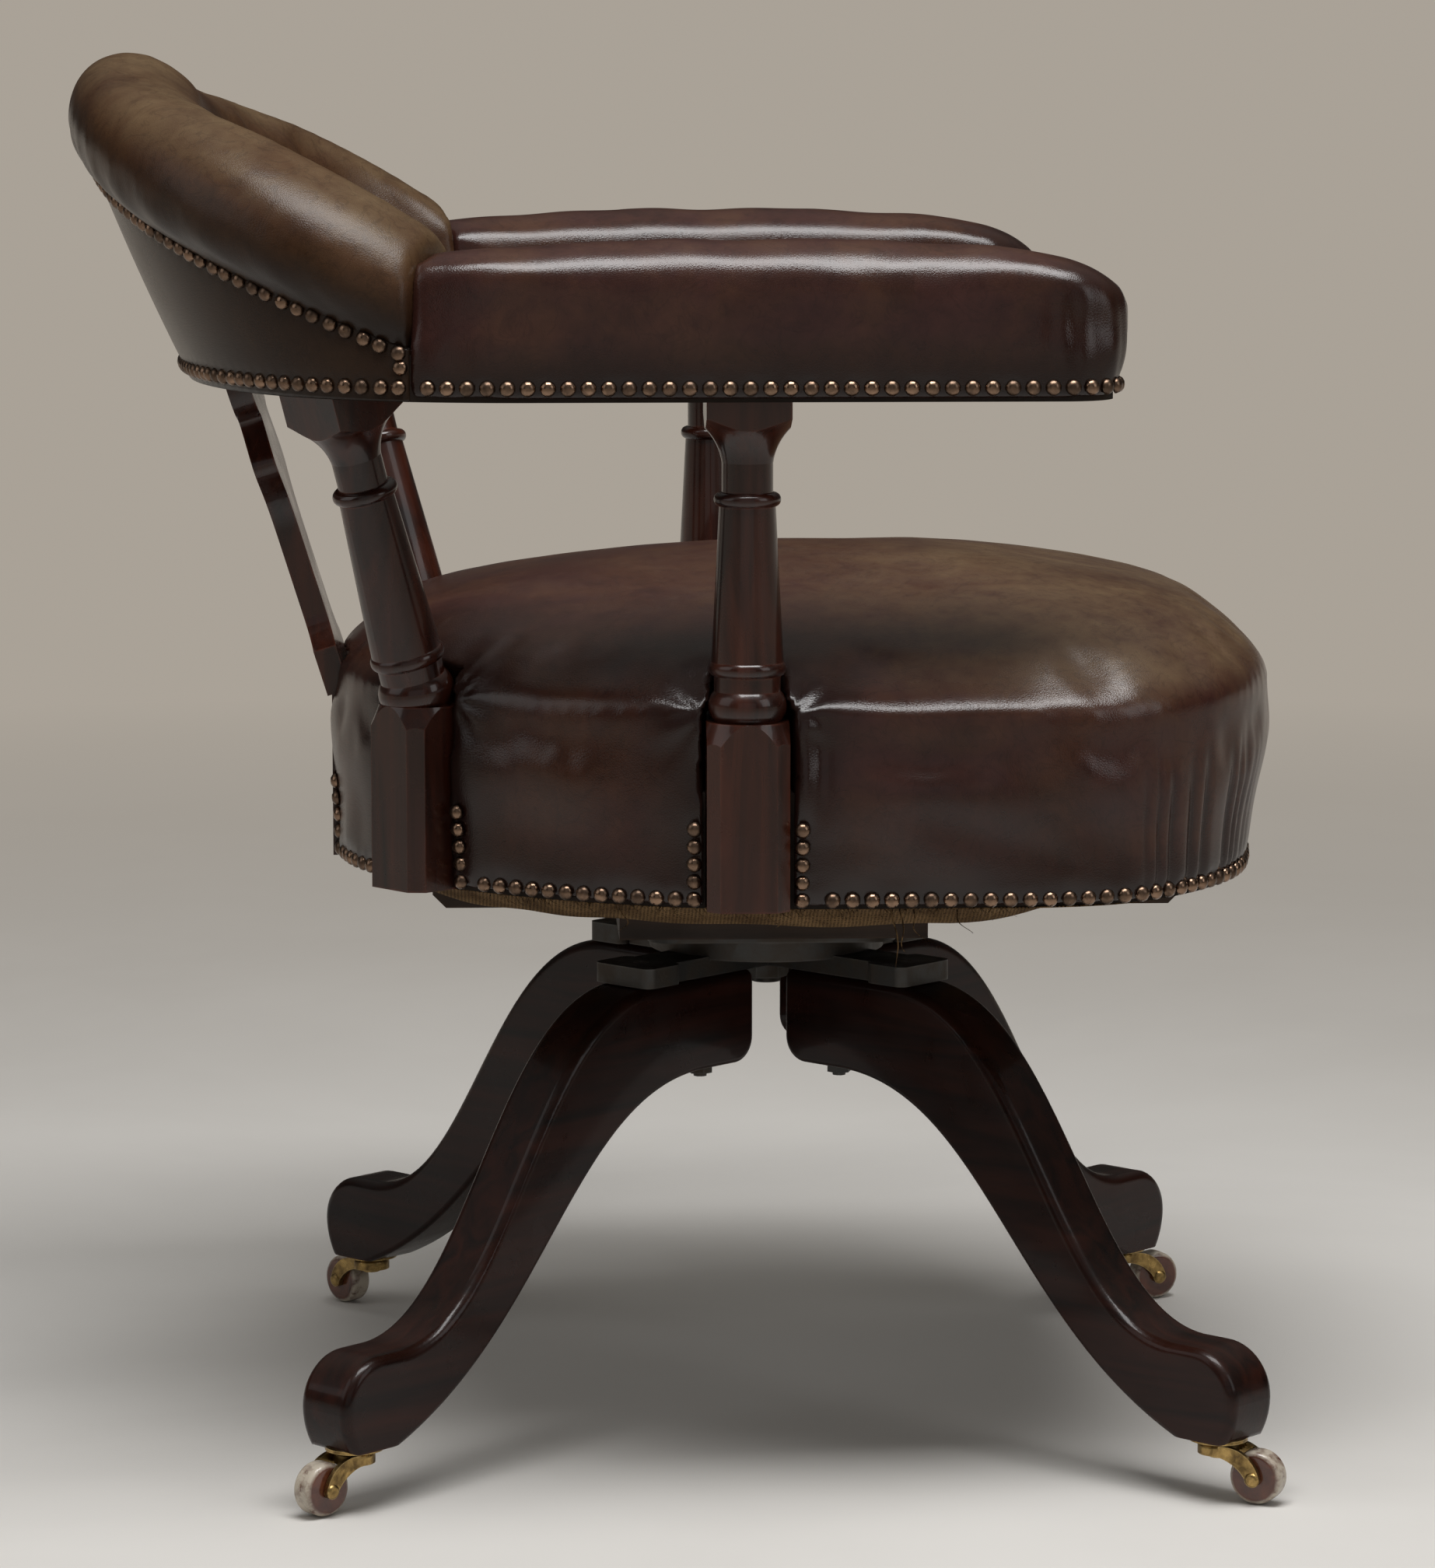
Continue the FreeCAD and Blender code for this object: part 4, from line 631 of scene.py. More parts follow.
def set_wear_and_shade(piece, worn, dull):
    """Store the worn number, which also carries painted shade and painted highlight, and the dull number, both from 0
    to 1, on every point of a leather piece.
    """
    for name, values in (("worn", worn), ("dull", dull)):
        layer = piece.data.attributes.new(name, "FLOAT", "POINT")
        layer.data.foreach_set("value", np.clip(values, 0, 1).astype(np.float32))


print("padding helpers ready")

# %% [markdown]
# ## Where the nails are
# Each row of domed nails holds a hem down, and the leather dips a little at every nail. The nails' places
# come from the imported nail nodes: their loose triangles are merged by rounding, and points that share a
# triangle are gathered into one nail by passing the smallest number round until nothing changes.

# %% Read the nails from the frame
def nail_places(name):
    """Centre and axis of every nail in a node; the axis is the direction in which a nail is thinnest."""
    mesh = nodes[name].data
    mesh.calc_loop_triangles()
    points = read_points(mesh)
    corners = np.empty(len(mesh.loop_triangles) * 3, dtype=np.int64)
    mesh.loop_triangles.foreach_get("vertices", corners)
    rounded_points = np.round(points * 2e5).astype(np.int64)
    _, first, merged = np.unique(rounded_points, axis=0, return_index=True, return_inverse=True)
    triangles = merged.reshape(-1)[corners].reshape(-1, 3)
    spots = points[first]
    label = np.arange(len(spots))
    while True:
        lowest = label[triangles].min(axis=1)
        fresh = label.copy()
        np.minimum.at(fresh, triangles.ravel(), np.repeat(lowest, 3))
        fresh = fresh[fresh]
        if np.array_equal(fresh, label):
            break
        label = fresh
    _, owner = np.unique(label, return_inverse=True)
    count = np.bincount(owner)
    centre = np.stack([np.bincount(owner, spots[:, k]) for k in range(3)], axis=1) / count[:, None]
    apart = spots - centre[owner]
    spread = np.zeros((len(count), 3, 3))
    np.add.at(spread, owner, apart[:, :, None] * apart[:, None, :])
    axis = np.linalg.eigh(spread)[1][:, :, 0]
    return centre, axis


nail_rows = {name: nail_places(name) for name in ("seat_nails", "arm_nails_left", "arm_nails_right", "back_nails")}
print("nails:", {name: len(rows[0]) for name, rows in nail_rows.items()})

# %% [markdown]
# ## The seat
# The seat is a sprung cushion: its wall stands nearly upright over the hem, swells to a shoulder, and rolls
# into a broad dome. As a surface it takes two numbers, one round the plan outline and one from the hem up to
# the crown. The outline is a smooth closed curve through the points that were measured for the solid.

# %% Seat form
millimetre = 0.001
seat_base = 348.8
seat_shoulder, seat_crown = 110.0, 184.0
front_fullness = 13.0
half_outline = [(287, 0), (276, 126), (244, 204), (203, 247), (76, 266),
                (-50, 260), (-151, 214), (-236, 132), (-263, 0)]


def closed_curve(points, count):
    """Smooth closed curve through points: a cubic spline over chord length whose slopes solve one cyclic system."""
    p = np.asarray(points, dtype=float)
    step = np.linalg.norm(np.roll(p, -1, axis=0) - p, axis=1)
    n = len(p)
    k = np.arange(n)
    system = np.zeros((n, n))
    system[k, k] = 2 * (step + np.roll(step, 1))
    system[k, (k + 1) % n] += step
    system[k, (k - 1) % n] += np.roll(step, 1)
    rise = (np.roll(p, -1, axis=0) - p) / step[:, None]
    bend = np.linalg.solve(system, 6 * (rise - np.roll(rise, 1, axis=0)))
    knots = np.concatenate([[0], np.cumsum(step)])
    at = np.linspace(0, knots[-1], count, endpoint=False)
    i = np.clip(np.searchsorted(knots, at, side="right") - 1, 0, n - 1)
    h = step[i][:, None]
    b = ((at - knots[i]) / step[i])[:, None]
    a = 1 - b
    j = (i + 1) % n
    return a * p[i] + b * p[j] + ((a ** 3 - a) * bend[i] + (b ** 3 - b) * bend[j]) * h * h / 6


def outward_of(curve):
    """Unit normals in plan of a closed curve that runs anticlockwise."""
    along = np.roll(curve, -1, axis=0) - np.roll(curve, 1, axis=0)
    normal = np.stack([along[:, 1], -along[:, 0]], axis=1)
    return normal / np.linalg.norm(normal, axis=1, keepdims=True)


outline = closed_curve(half_outline + [(x, -y) for x, y in half_outline[-2:0:-1]], 200)
outline_normal = outward_of(outline)


def seat_form(inset):
    """Wall: outline pushed out by a swell that follows height. Dome: outline shrunk to a share s, at a height of
    the shoulder plus the rise times (1 - s^p)^(1/p), where p is 2.1 at the front and rear and 1.6 at the sides.
    Above the hem both are drawn in by inset. Rings run from the hem to the crown."""
    height = np.array([0, 0.06, 0.14, 0.24, 0.36, 0.5, 0.64, 0.76, 0.86, 0.94, 1.0])
    swell_share = np.interp(height, (0, 0.1, 0.35, 0.7, 1.0), (0, 0.05, 0.4, 0.82, 1.0))
    drawn_in = inset * smooth_step(height, 0.04, 0.4)
    front = smooth_step(outline[:, 0], 120, 280)[None, :, None]
    ahead = np.array([1.0, 0.0]) * front
    grow = (1.2 + 10.0 * swell_share - drawn_in)[:, None, None]
    wall = outline[None] + outline_normal[None] * grow + ahead * front_fullness * swell_share[:, None, None]
    share = np.array([0.997, 0.988, 0.972, 0.945, 0.905, 0.85, 0.78, 0.69, 0.57, 0.43, 0.28, 0.12])
    middle = np.array([40.0, 0.0])
    fuller = (11.2 * smooth_step(share, 0.5, 1.0) - inset)[:, None, None]
    dome = middle + (outline - middle)[None] * share[:, None, None] + outline_normal[None] * fuller
    dome = dome + ahead * front_fullness * smooth_step(share, 0.5, 1.0)[:, None, None]
    sideways = np.abs(outline_normal[:, 1]) ** 2
    power = (2.1 - 0.5 * sideways)[None]
    rise = (1 - share[:, None] ** power) ** (1 / power)
    wall_level = np.repeat((1.0 + height * seat_shoulder)[:, None], len(outline), axis=1)
    level = np.concatenate([wall_level, seat_shoulder + (seat_crown - seat_shoulder - inset) * rise])
    plan = np.concatenate([wall, dome])
    return np.concatenate([plan, seat_base + level[:, :, None]], axis=2) * millimetre


seat_rings = seat_form(inset=5.0)
rows, columns = seat_rings.shape[:2]
seat_faces = grid_faces(rows, columns, closed=True).tolist()
seat_faces += [list(range((rows - 1) * columns, rows * columns)), list(range(columns - 1, -1, -1))]
seat_leather = make_piece("seat_leather", seat_rings.reshape(-1, 3), seat_faces, seat_hide)
hem_top = (seat_base + 16) * millimetre
swell(seat_leather, held=lambda p: p[:, 2] < hem_top, cap=0.006, voxel=0.0053)
print("seat leather:", len(seat_leather.data.polygons), "faces")

# %% [markdown]
# The hide is cut and tucked round each post and behind the board, so it rolls in beside the block. A point in
# front of a post's back is pushed behind it, and beside the block the limit opens like a rolled edge. Fan
# wrinkles run from the tucked corners, gathers stand on the front corners, and every nail dents the hem.

# %% Tucks, gathers and nail dents on the seat
block_top = 455.8
post_half = 24.4
tucks = [(-24.0, -253.5, -90.0, 0.0), (-24.0, 253.5, 90.0, 0.0),
         (-210.0, -167.0, -139.5, 17.5), (-210.0, 167.0, 139.5, 17.5)]
board_half, board_top, board_front = 0.050, 0.472, -0.2485


def from_post(points, x, y, degrees):
    """A post's outward direction in plan, and each point's distance from it outwards and sideways."""
    outward = np.array([math.cos(math.radians(degrees)), math.sin(math.radians(degrees))])
    side = np.array([-outward[1], outward[0]])
    apart = points[:, :2] / millimetre - np.array([x, y])
    return outward, apart @ outward, np.abs(apart @ side)


def tuck_round_post(points, x, y, degrees, lean):
    """Limit each point's outward distance n from a post: n is at most the block's back, and beside the block
    the limit rises with about the root of the sideways distance, tightly at the nails and wider above them."""
    outward, n, t = from_post(points, x, y, degrees)
    above = np.maximum(points[:, 2] / millimetre - block_top, 0)
    back = -post_half + math.tan(math.radians(lean)) * above
    beside = np.maximum(t - post_half + 5 * smooth_step(above, 2, 16), 0)
    roll = 3 + 3 * smooth_step(points[:, 2] / millimetre, seat_base + 50, seat_base + 80)
    limit = back + 60 * (beside / roll) ** 0.55
    push = np.where((t < post_half + 30) & (n > -80), np.minimum(limit - n, 0), 0)
    points[:, :2] += push[:, None] * outward * millimetre
    return points


def fan_wrinkles(points, x, y, degrees):
    """Ripple height beside a post: sin of nine times the angle round the block's top corner, dying with distance."""
    _, n, beside = from_post(points, x, y, degrees)
    t = beside - post_half
    up = points[:, 2] / millimetre - block_top - 4
    distance = np.hypot(t, up)
    near = np.exp(-distance / 26) * smooth_step(distance, 3, 12) * (n > -45) * (t > 0)
    return 0.8 * near * np.sin(9 * np.arctan2(up, np.maximum(t, 0.01)))


def post_fold(points, x, y):
    """Ridge of the gathered hide ahead of a front post, with a hollow beyond it: two bells over the distance."""
    ahead = points[:, 0] / millimetre - x - post_half
    level = points[:, 2] / millimetre
    tall = smooth_step(level, seat_base + 42, seat_base + 66) * (1 - smooth_step(level, block_top - 6, block_top + 8))
    same_side = points[:, 1] * y > 0
    return same_side * tall * (2.6 * np.exp(-((ahead - 8) / 4.5) ** 2) - 1.8 * np.exp(-((ahead - 18) / 6) ** 2))


def dents(points, centres, depth, width):
    """Sum of small bell-shaped hollows, one at each nail: minus depth times exp(-(distance / width)^2)."""
    total = np.zeros(len(points))
    for centre in centres:
        near = np.abs(points - centre).max(axis=1) < 3 * width
        gap = np.linalg.norm(points[near] - centre, axis=1)
        total[near] = np.minimum(total[near], -depth * np.exp(-(gap / width) ** 2))
    return total


points = read_points(seat_leather.data)
normals = read_normals(seat_leather.data)
flat = points / millimetre
turn = np.degrees(np.arctan2(flat[:, 1], flat[:, 0] - 60))
above_hem = flat[:, 2] - seat_base
corner = np.exp(-((np.abs(turn) - 48) / 13) ** 4)
bend = np.radians(turn)
pleat_phase = bend * 112 + 2.4 * np.sin(bend * 19) + 1.2 * np.sin(bend * 43) + 0.012 * above_hem
from_nails, below_roll = smooth_step(above_hem, 3, 14), 1 - smooth_step(above_hem, 46, 98)
fold = ((1 + np.cos(pleat_phase)) / 2) ** 1.7 * corner * from_nails * below_roll
gathers = 0.6 * corner * below_roll * from_nails - 2.8 * fold
side_gathers = 0.7 * (1 - corner) * np.sin(bend * 34 + 1.7 * np.sin(bend * 7))
side_gathers *= smooth_step(above_hem, 8, 20) * (1 - smooth_step(above_hem, 24, 62))
slow_lumps = 0.6 * np.sin(flat[:, 0] / 46 + 1.3) * np.sin(flat[:, 1] / 39 + 0.4)
slow_lumps *= smooth_step(above_hem, 90, 150)
move = gathers + side_gathers + slow_lumps + sum(fan_wrinkles(points, *t[:3]) for t in tucks)
move += sum(post_fold(points, *t[:2]) for t in tucks[:2])
move += dents(points, nail_rows["seat_nails"][0], 1.0 * millimetre, 6.0 * millimetre) / millimetre
points += normals * move[:, None] * millimetre
for tuck in tucks:
    points = tuck_round_post(points, *tuck)
board = (np.abs(points[:, 1]) < board_half) & (points[:, 2] < board_top)
points[board, 0] = np.maximum(points[board, 0], board_front)
write_points(seat_leather.data, points)
# The seat's worn number also paints light and shade. It stays near-black by the hem and beside the posts as painted
# shade, and it drops again in the pleat valleys as painted shade. It is raised over the corner pleats so that their
# ridges carry a painted highlight. The top grows lighter towards the front with wear.
top = smooth_step(above_hem, 108, 140)
to_front = smooth_step(flat[:, 0], -230, 230)
by_post = np.min([np.hypot(flat[:, 0] - x, flat[:, 1] - y) for x, y, _, _ in tucks], axis=0)
wall_wear_and_shade = 0.15 * smooth_step(above_hem, 6, 45) * smooth_step(by_post, 30, 75)
wall_wear_and_shade = 0.03 + wall_wear_and_shade * (1 + 0.5 * corner - 1.5 * fold)
top_wear_and_shade = (0.21 + 0.56 * to_front ** 2) * (0.4 + 0.6 * smooth_step(by_post, 30, 110))
set_wear_and_shade(seat_leather, top * top_wear_and_shade + (1 - top) * wall_wear_and_shade, smooth_step(above_hem, 114, 138))
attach(seat_leather, "seat")
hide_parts("seat_cover", "seat_stuffing")
print("seat leather top at", round(float(points[:, 2].max()), 4), "m")

# %% [markdown]
# ## The arms
# Each arm is a flat-topped pad on a rail: upright walls, a tight shoulder, and a low crown. It is a profile
# carried along a path, which follows the bow from the seam and then runs straight to a rounded nose. One arm
# is made and swollen, and the other is its mirror image with the faces turned round.

# %% Arm form
arm_base = 637.8
arm_front, arm_outer, arm_half, arm_corner = 184.0, 290.0, 38.0, 32.0
arm_curve_start, bow_depth, bow_power, seam_angle = -140.0, 208.0, 2.35, 72.7
arm_height = 87.0


def bow_edge(degrees):
    """Outer edge of the bow in plan on a superellipse of power 2.35, and its unit normal towards the sitter."""
    c, s = np.cos(np.radians(degrees)), np.sin(np.radians(degrees))
    power = 2 / bow_power
    x, y = -bow_depth * np.abs(c) ** power, arm_outer * np.sign(s) * np.abs(s) ** power
    slope = np.stack([(np.abs(x) / bow_depth) ** (bow_power - 1) / bow_depth,
                      -np.sign(y) * (np.abs(y) / arm_outer) ** (bow_power - 1) / arm_outer], axis=1)
    edge = np.stack([x + arm_curve_start, y], axis=1)
    return edge, slope / np.linalg.norm(slope, axis=1, keepdims=True)


def arm_form(inset):
    """Stations from the seam to the nose. At each, x = w sqrt(1 - (z / h)^14) is the half profile; the half width w
    closes on a quarter circle at the nose, and the height h falls there with the fourth power of the distance
    and is fullest half way, by a sine."""
    edge, inward = bow_edge(np.linspace(-seam_angle + 0.5, -89.9, 14))
    nose = arm_front - 50 * np.linspace(1, 0, 18)[1:] ** 2
    ahead = np.concatenate([np.linspace(arm_curve_start + 8, arm_front - 50, 28), nose])
    straight = np.stack([ahead, np.full_like(ahead, -arm_outer)], axis=1)
    edge = np.concatenate([edge, straight])
    inward = np.concatenate([inward, np.tile([[0.0, 1.0]], (len(ahead), 1))])
    to_nose = arm_front - edge[:, 0]
    within = np.clip(to_nose / arm_corner, 0, 1)
    half = arm_half - arm_corner + arm_corner * np.sqrt(1 - (1 - within) ** 2) - inset
    run = np.clip((arm_front - to_nose + 220) / (arm_front + 220), 0, 1)
    tall = arm_height - 24 * (1 - np.clip(to_nose / 104, 0, 1)) ** 4 - inset + 6.0 * np.sin(np.pi * run) - 2.0
    rise = np.concatenate([np.linspace(0.0, 0.86, 12), 1 - 0.14 * np.linspace(1, 0, 14)[1:] ** 2])
    wide = np.sqrt(np.maximum(1 - rise ** 14, 0))
    profile_across = np.concatenate([wide, -wide[-2::-1]])
    profile_up = np.concatenate([rise, rise[-2::-1]])
    to_hem = 1 - smooth_step(profile_up, 0.34, 0.6)
    across = arm_half - (half[:, None] + (inset + 1.0) * to_hem[None]) * profile_across[None]
    plan = edge[:, None] + inward[:, None] * across[:, :, None]
    at_nose = smooth_step(edge[:, 0], arm_front - 60, arm_front)[:, None]
    plan[:, :, 0] += 6.0 * (at_nose * smooth_step(profile_up, 0.1, 0.5)[None])
    up = arm_base + 1.5 + (tall[:, None] - 1.5) * profile_up[None]
    return np.concatenate([plan, up[:, :, None]], axis=2) * millimetre


arm_rings = arm_form(inset=3.0)
rows, columns = arm_rings.shape[:2]
arm_faces = grid_faces(rows, columns, closed=True)[:, ::-1].tolist()
arm_faces += [list(range(columns)), list(range(rows * columns - 1, (rows - 1) * columns - 1, -1))]
arm_leather_right = make_piece("arm_leather_right", arm_rings.reshape(-1, 3), arm_faces, arm_hide)
seam_edge, seam_inward = bow_edge(np.array([-seam_angle]))
seam_along = np.array([seam_inward[0, 1], -seam_inward[0, 0]])
hem_top = (arm_base + 14) * millimetre


def held_on_arm(points):
    """The hem under the nails and the seam to the back stay where they are."""
    past_seam = (points[:, :2] / millimetre - seam_edge[0]) @ seam_along
    return (points[:, 2] < hem_top) | (past_seam < 6)


swell(arm_leather_right, held_on_arm, cap=0.004, voxel=0.005)
print("arm leather:", len(arm_leather_right.data.polygons), "faces")

# %% Arm gathers, dents and mirror image
points = read_points(arm_leather_right.data)
normals = read_normals(arm_leather_right.data)
flat = points / millimetre
above_hem = flat[:, 2] - arm_base
round_nose = np.arctan2(flat[:, 0] - (arm_front - arm_half), -(flat[:, 1] + arm_outer - arm_half))
at_nose = smooth_step(flat[:, 0], arm_front - 62, arm_front - 20)
run = flat[:, 0]
gathers = 0.4 * at_nose * np.sin(round_nose * 16 + 0.6 * np.sin(round_nose * 5))
gathers *= smooth_step(above_hem, 8, 24) * (1 - smooth_step(above_hem, 44, 78))
ripples = 0.35 * (1 - at_nose) * np.sin(run / 5.6 + 1.5 * np.sin(run / 31))
ripples *= smooth_step(above_hem, 8, 16) * (1 - smooth_step(above_hem, 20, 44))
slow = 0.55 * np.sin(run / 21 + 1.1 * np.sin(run / 47)) + 0.35 * np.sin(run / 9 + 2.0)
slow *= smooth_step(above_hem, 40, 72)
move = gathers + ripples + slow
move += dents(points, nail_rows["arm_nails_right"][0], 0.9 * millimetre, 5.5 * millimetre) / millimetre
points += normals * move[:, None] * millimetre
write_points(arm_leather_right.data, points)
# The arm's worn number stays near-black by the hem as painted shade and is held lower at the nose. It rises up the wall
# and again on the crest with wear.
crest = smooth_step(above_hem, 66, 84)
arm_wear_and_shade = 0.03 + 0.13 * smooth_step(above_hem, 8, 40) * (1 - 0.7 * at_nose) + 0.1 * crest
set_wear_and_shade(arm_leather_right, arm_wear_and_shade, 0.9 * smooth_step(above_hem, 75, 84))

mirrored_mesh = arm_leather_right.data.copy()
mirrored_mesh.name = "arm_leather_left"
write_points(mirrored_mesh, points * [1, -1, 1])
mirrored_mesh.flip_normals()
arm_leather_left = bpy.data.objects.new("arm_leather_left", mirrored_mesh)
scene.collection.objects.link(arm_leather_left)
for piece, side in ((arm_leather_right, "right"), (arm_leather_left, "left")):
    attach(piece, "seat")
    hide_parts(f"arm_cover_{side}", f"arm_stuffing_{side}")
print("arms:", arm_leather_right.name, arm_leather_left.name)

# %% [markdown]
# ## The back
# The bow's padding rises from the arms to a rolled crest that leans out at the rear, and falls inside to the
# rail. Its section changes along the bow, so every named point of the section is an array over the angle, and
# circular arcs through three of those points at a time draw the roll, the crest and the inside.

# %% Section of the back round the bow
back_lean = math.tan(math.radians(24.0))


def section_points(degrees):
    """Named points (inward distance, height over the rail) of the back, eased from the seam to the rear centre."""
    rear = np.maximum(1 - np.abs(degrees) / seam_angle, 0)
    ease = np.sin(rear * np.pi / 2)
    held = (rear + ease) / 2
    lean = back_lean * ease

    def between(at_seam, at_rear, share):
        return at_seam + (at_rear - at_seam) * share

    nail = between(30.0, 134.0, rear)
    crest = between(arm_height, 190.0, held)
    inner = between(68.0, 150.0, held)
    inner_across = between(76.0, 0.0, ease)
    named = {
        "nail": (-lean * nail, nail),
        "roll": (between(-1.0, -68.0, ease), between(60.0, 153.0, held)),
        "crest": (between(35.0, -35.0, ease), crest),
        "top": (between(63.8, 0.28 * inner_across - 10, ease), (crest + inner) / 2 + between(4.0, 8.0, rear)),
        "inner": (inner_across, inner),
        "bulge": ((inner_across + 76.0) / 2 + between(1.5, 8.0, rear), inner / 2),
        "hem": (76.0 + 0 * lean, 0 * lean),
    }
    return {key: np.stack(pair, axis=1) for key, pair in named.items()}, lean, nail


def arc_through(a, b, c, count):
    """Points on the circle through a, b and c, from a to c by way of b, for whole arrays of such triples."""
    size = [np.sum(p * p, axis=1) for p in (a, b, c)]
    twice = 2 * (a[:, 0] * (b[:, 1] - c[:, 1]) + b[:, 0] * (c[:, 1] - a[:, 1]) + c[:, 0] * (a[:, 1] - b[:, 1]))
    cx = (size[0] * (b[:, 1] - c[:, 1]) + size[1] * (c[:, 1] - a[:, 1]) + size[2] * (a[:, 1] - b[:, 1])) / twice
    cy = (size[0] * (c[:, 0] - b[:, 0]) + size[1] * (a[:, 0] - c[:, 0]) + size[2] * (b[:, 0] - a[:, 0])) / twice
    centre = np.stack([cx, cy], axis=1)
    start, by, end = (np.arctan2(p[:, 1] - cy, p[:, 0] - cx) for p in (a, b, c))
    total, part = (end - start) % (2 * np.pi), (by - start) % (2 * np.pi)
    total = np.where(part > total, total - 2 * np.pi, total)
    angle = start[:, None] + total[:, None] * np.linspace(0, 1, count)[None]
    radius = np.linalg.norm(a - centre, axis=1)
    return centre[:, None] + radius[:, None, None] * np.stack([np.cos(angle), np.sin(angle)], axis=2)


def on_bow(degrees, spots):
    """Carry section points (inward, up) to the bow: edge plus inward normal times the first, raised by the second."""
    edge, inward = bow_edge(degrees)
    plan = edge[:, None] + inward[:, None] * spots[:, :, :1]
    return np.concatenate([plan, arm_base + spots[:, :, 1:]], axis=2) * millimetre


def back_rings(inset):
    """Closed sections from seam to seam: over the roll, down the inside, under the rail and up behind the board."""
    degrees = np.linspace(-seam_angle - 0.4, seam_angle + 0.4, 121)
    named, lean, nail = section_points(degrees)
    lip = np.stack([-lean * (nail - 5.0) - 1.6, nail - 5.0], axis=1)
    over = [lip[:, None], arc_through(named["nail"], named["roll"], named["crest"], 15),
            arc_through(named["crest"], named["top"], named["inner"], 13)[:, 1:],
            arc_through(named["inner"], named["bulge"], named["hem"], 15)[:, 1:]]
    line = np.concatenate(over, axis=1)
    along = np.gradient(line, axis=1)
    normal = np.stack([-along[:, :, 1], along[:, :, 0]], axis=2)
    normal /= np.linalg.norm(normal, axis=2, keepdims=True)
    up_from_hem = smooth_step(line[:, :, 1], 4, 40) * smooth_step(np.arange(line.shape[1]), 1, 6)[None]
    line = line - normal * inset * up_from_hem[:, :, None]
    line[:, -1, 1] = 0.8
    behind = np.linspace(0, 1, 9)[None]
    up = 0.8 + (nail[:, None] - 10.0) * behind
    board_face = np.stack([16.0 - lean[:, None] * up, up], axis=2)
    return on_bow(degrees, np.concatenate([line, board_face], axis=1)), degrees


rings, bow_angles = back_rings(inset=-4.5)
rows, columns = rings.shape[:2]
back_faces = grid_faces(rows, columns, closed=True)[:, ::-1].tolist()
back_faces += [list(range(columns)), list(range(rows * columns - 1, (rows - 1) * columns - 1, -1))]
back_leather = make_piece("back_leather", rings.reshape(-1, 3), back_faces, back_hide)
seam_sides = np.array([-1.0, 1.0])
seam_edges, seam_inwards = bow_edge(seam_sides * (seam_angle - 1.3))
seam_nails = np.concatenate([seam_edges, np.full((2, 1), arm_base + 19.0)], axis=1) * millimetre
seam_nail_axes = np.concatenate([-seam_inwards, np.zeros((2, 1))], axis=1)
with_seam = zip(nail_rows["back_nails"], (seam_nails, seam_nail_axes))
nail_rows["back_nails"] = tuple(np.concatenate(pair) for pair in with_seam)
print("back form:", len(back_faces), "faces before the remesh, and", len(nail_rows["back_nails"][0]), "nails")

# %% Swell and finish the back
def bow_angle_of(points):
    """Angle round the bow of each point, from the rear centre, by the nearest point of the outer edge."""
    fine = np.linspace(-90, 90, 721)
    edge, inward = bow_edge(fine)
    middle = edge + inward * 20
    spot = points[:, :2] / millimetre
    best = [np.argmin(((part[:, None] - middle[None]) ** 2).sum(axis=2), axis=1) for part in np.array_split(spot, 60)]
    return fine[np.concatenate(best)]


def held_on_back(points):
    """The nail row outside, the hem inside and the two seams stay where they are."""
    degrees = bow_angle_of(points)
    edge, inward = bow_edge(degrees)
    across = np.sum((points[:, :2] / millimetre - edge) * inward, axis=1)
    up = points[:, 2] / millimetre - arm_base
    _, lean, nail = section_points(degrees)
    by_board = (up < nail + 3) & (across < 22 - lean * up)
    return by_board | (up < 12) | (np.abs(degrees) > seam_angle - 1.5)


swell(back_leather, held_on_back, cap=0.005, voxel=0.0055)
points = read_points(back_leather.data)
normals = read_normals(back_leather.data)
flat = points / millimetre
degrees = bow_angle_of(points)
edge, inward = bow_edge(degrees)
across = np.sum((flat[:, :2] - edge) * inward, axis=1)
up = flat[:, 2] - arm_base
named, lean, nail = section_points(degrees)
bow_steps = np.linalg.norm(np.diff(bow_edge(bow_angles)[0], axis=0), axis=1)
along = np.interp(degrees, bow_angles, np.concatenate([[0], np.cumsum(bow_steps)]))
outside = across < named["crest"][:, 0]
gathers = 0.6 * np.sin(along / 5.2 + 1.4 * np.sin(along / 37)) * outside
gathers *= smooth_step(up - nail, 2, 12) * (1 - smooth_step(up - nail, 16, 42))
slow = 0.4 * np.sin(along / 48) * np.sin(up / 29 + 0.6) * smooth_step(up, 20, 60) * (np.abs(degrees) < seam_angle - 4)
move = gathers + slow + dents(points, nail_rows["back_nails"][0], 0.9 * millimetre, 5.5 * millimetre) / millimetre
points += normals * move[:, None] * millimetre
write_points(back_leather.data, points)
# The back's worn number stays near-black just above the nail row, under the roll, as painted shade. It is a little
# higher on the inside, and it is raised along the crest partly with wear and partly as a painted sheen.
on_crest = np.exp(-((up - named["crest"][:, 1]) / 14) ** 2)
set_wear_and_shade(back_leather, 0.02 + 0.13 * smooth_step(up - nail, 4, 34) + 0.42 * on_crest + 0.1 * ~outside,
         0.4 + 0.5 * on_crest + 0.2 * ~outside)
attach(back_leather, "seat")
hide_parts("back_inside_cover", "back_stuffing")
print("back leather:", len(back_leather.data.polygons), "faces")

# %% [markdown]
# ## The outside of the back
# Below the roll a separate hide is stretched over the board from the lower nails to the slanting upper row. It
# is a sheet: a grid of the bow's angle by height, leaning out with the board, a touch fuller between its
# nails, with Solidify giving it the hide's thickness inwards.

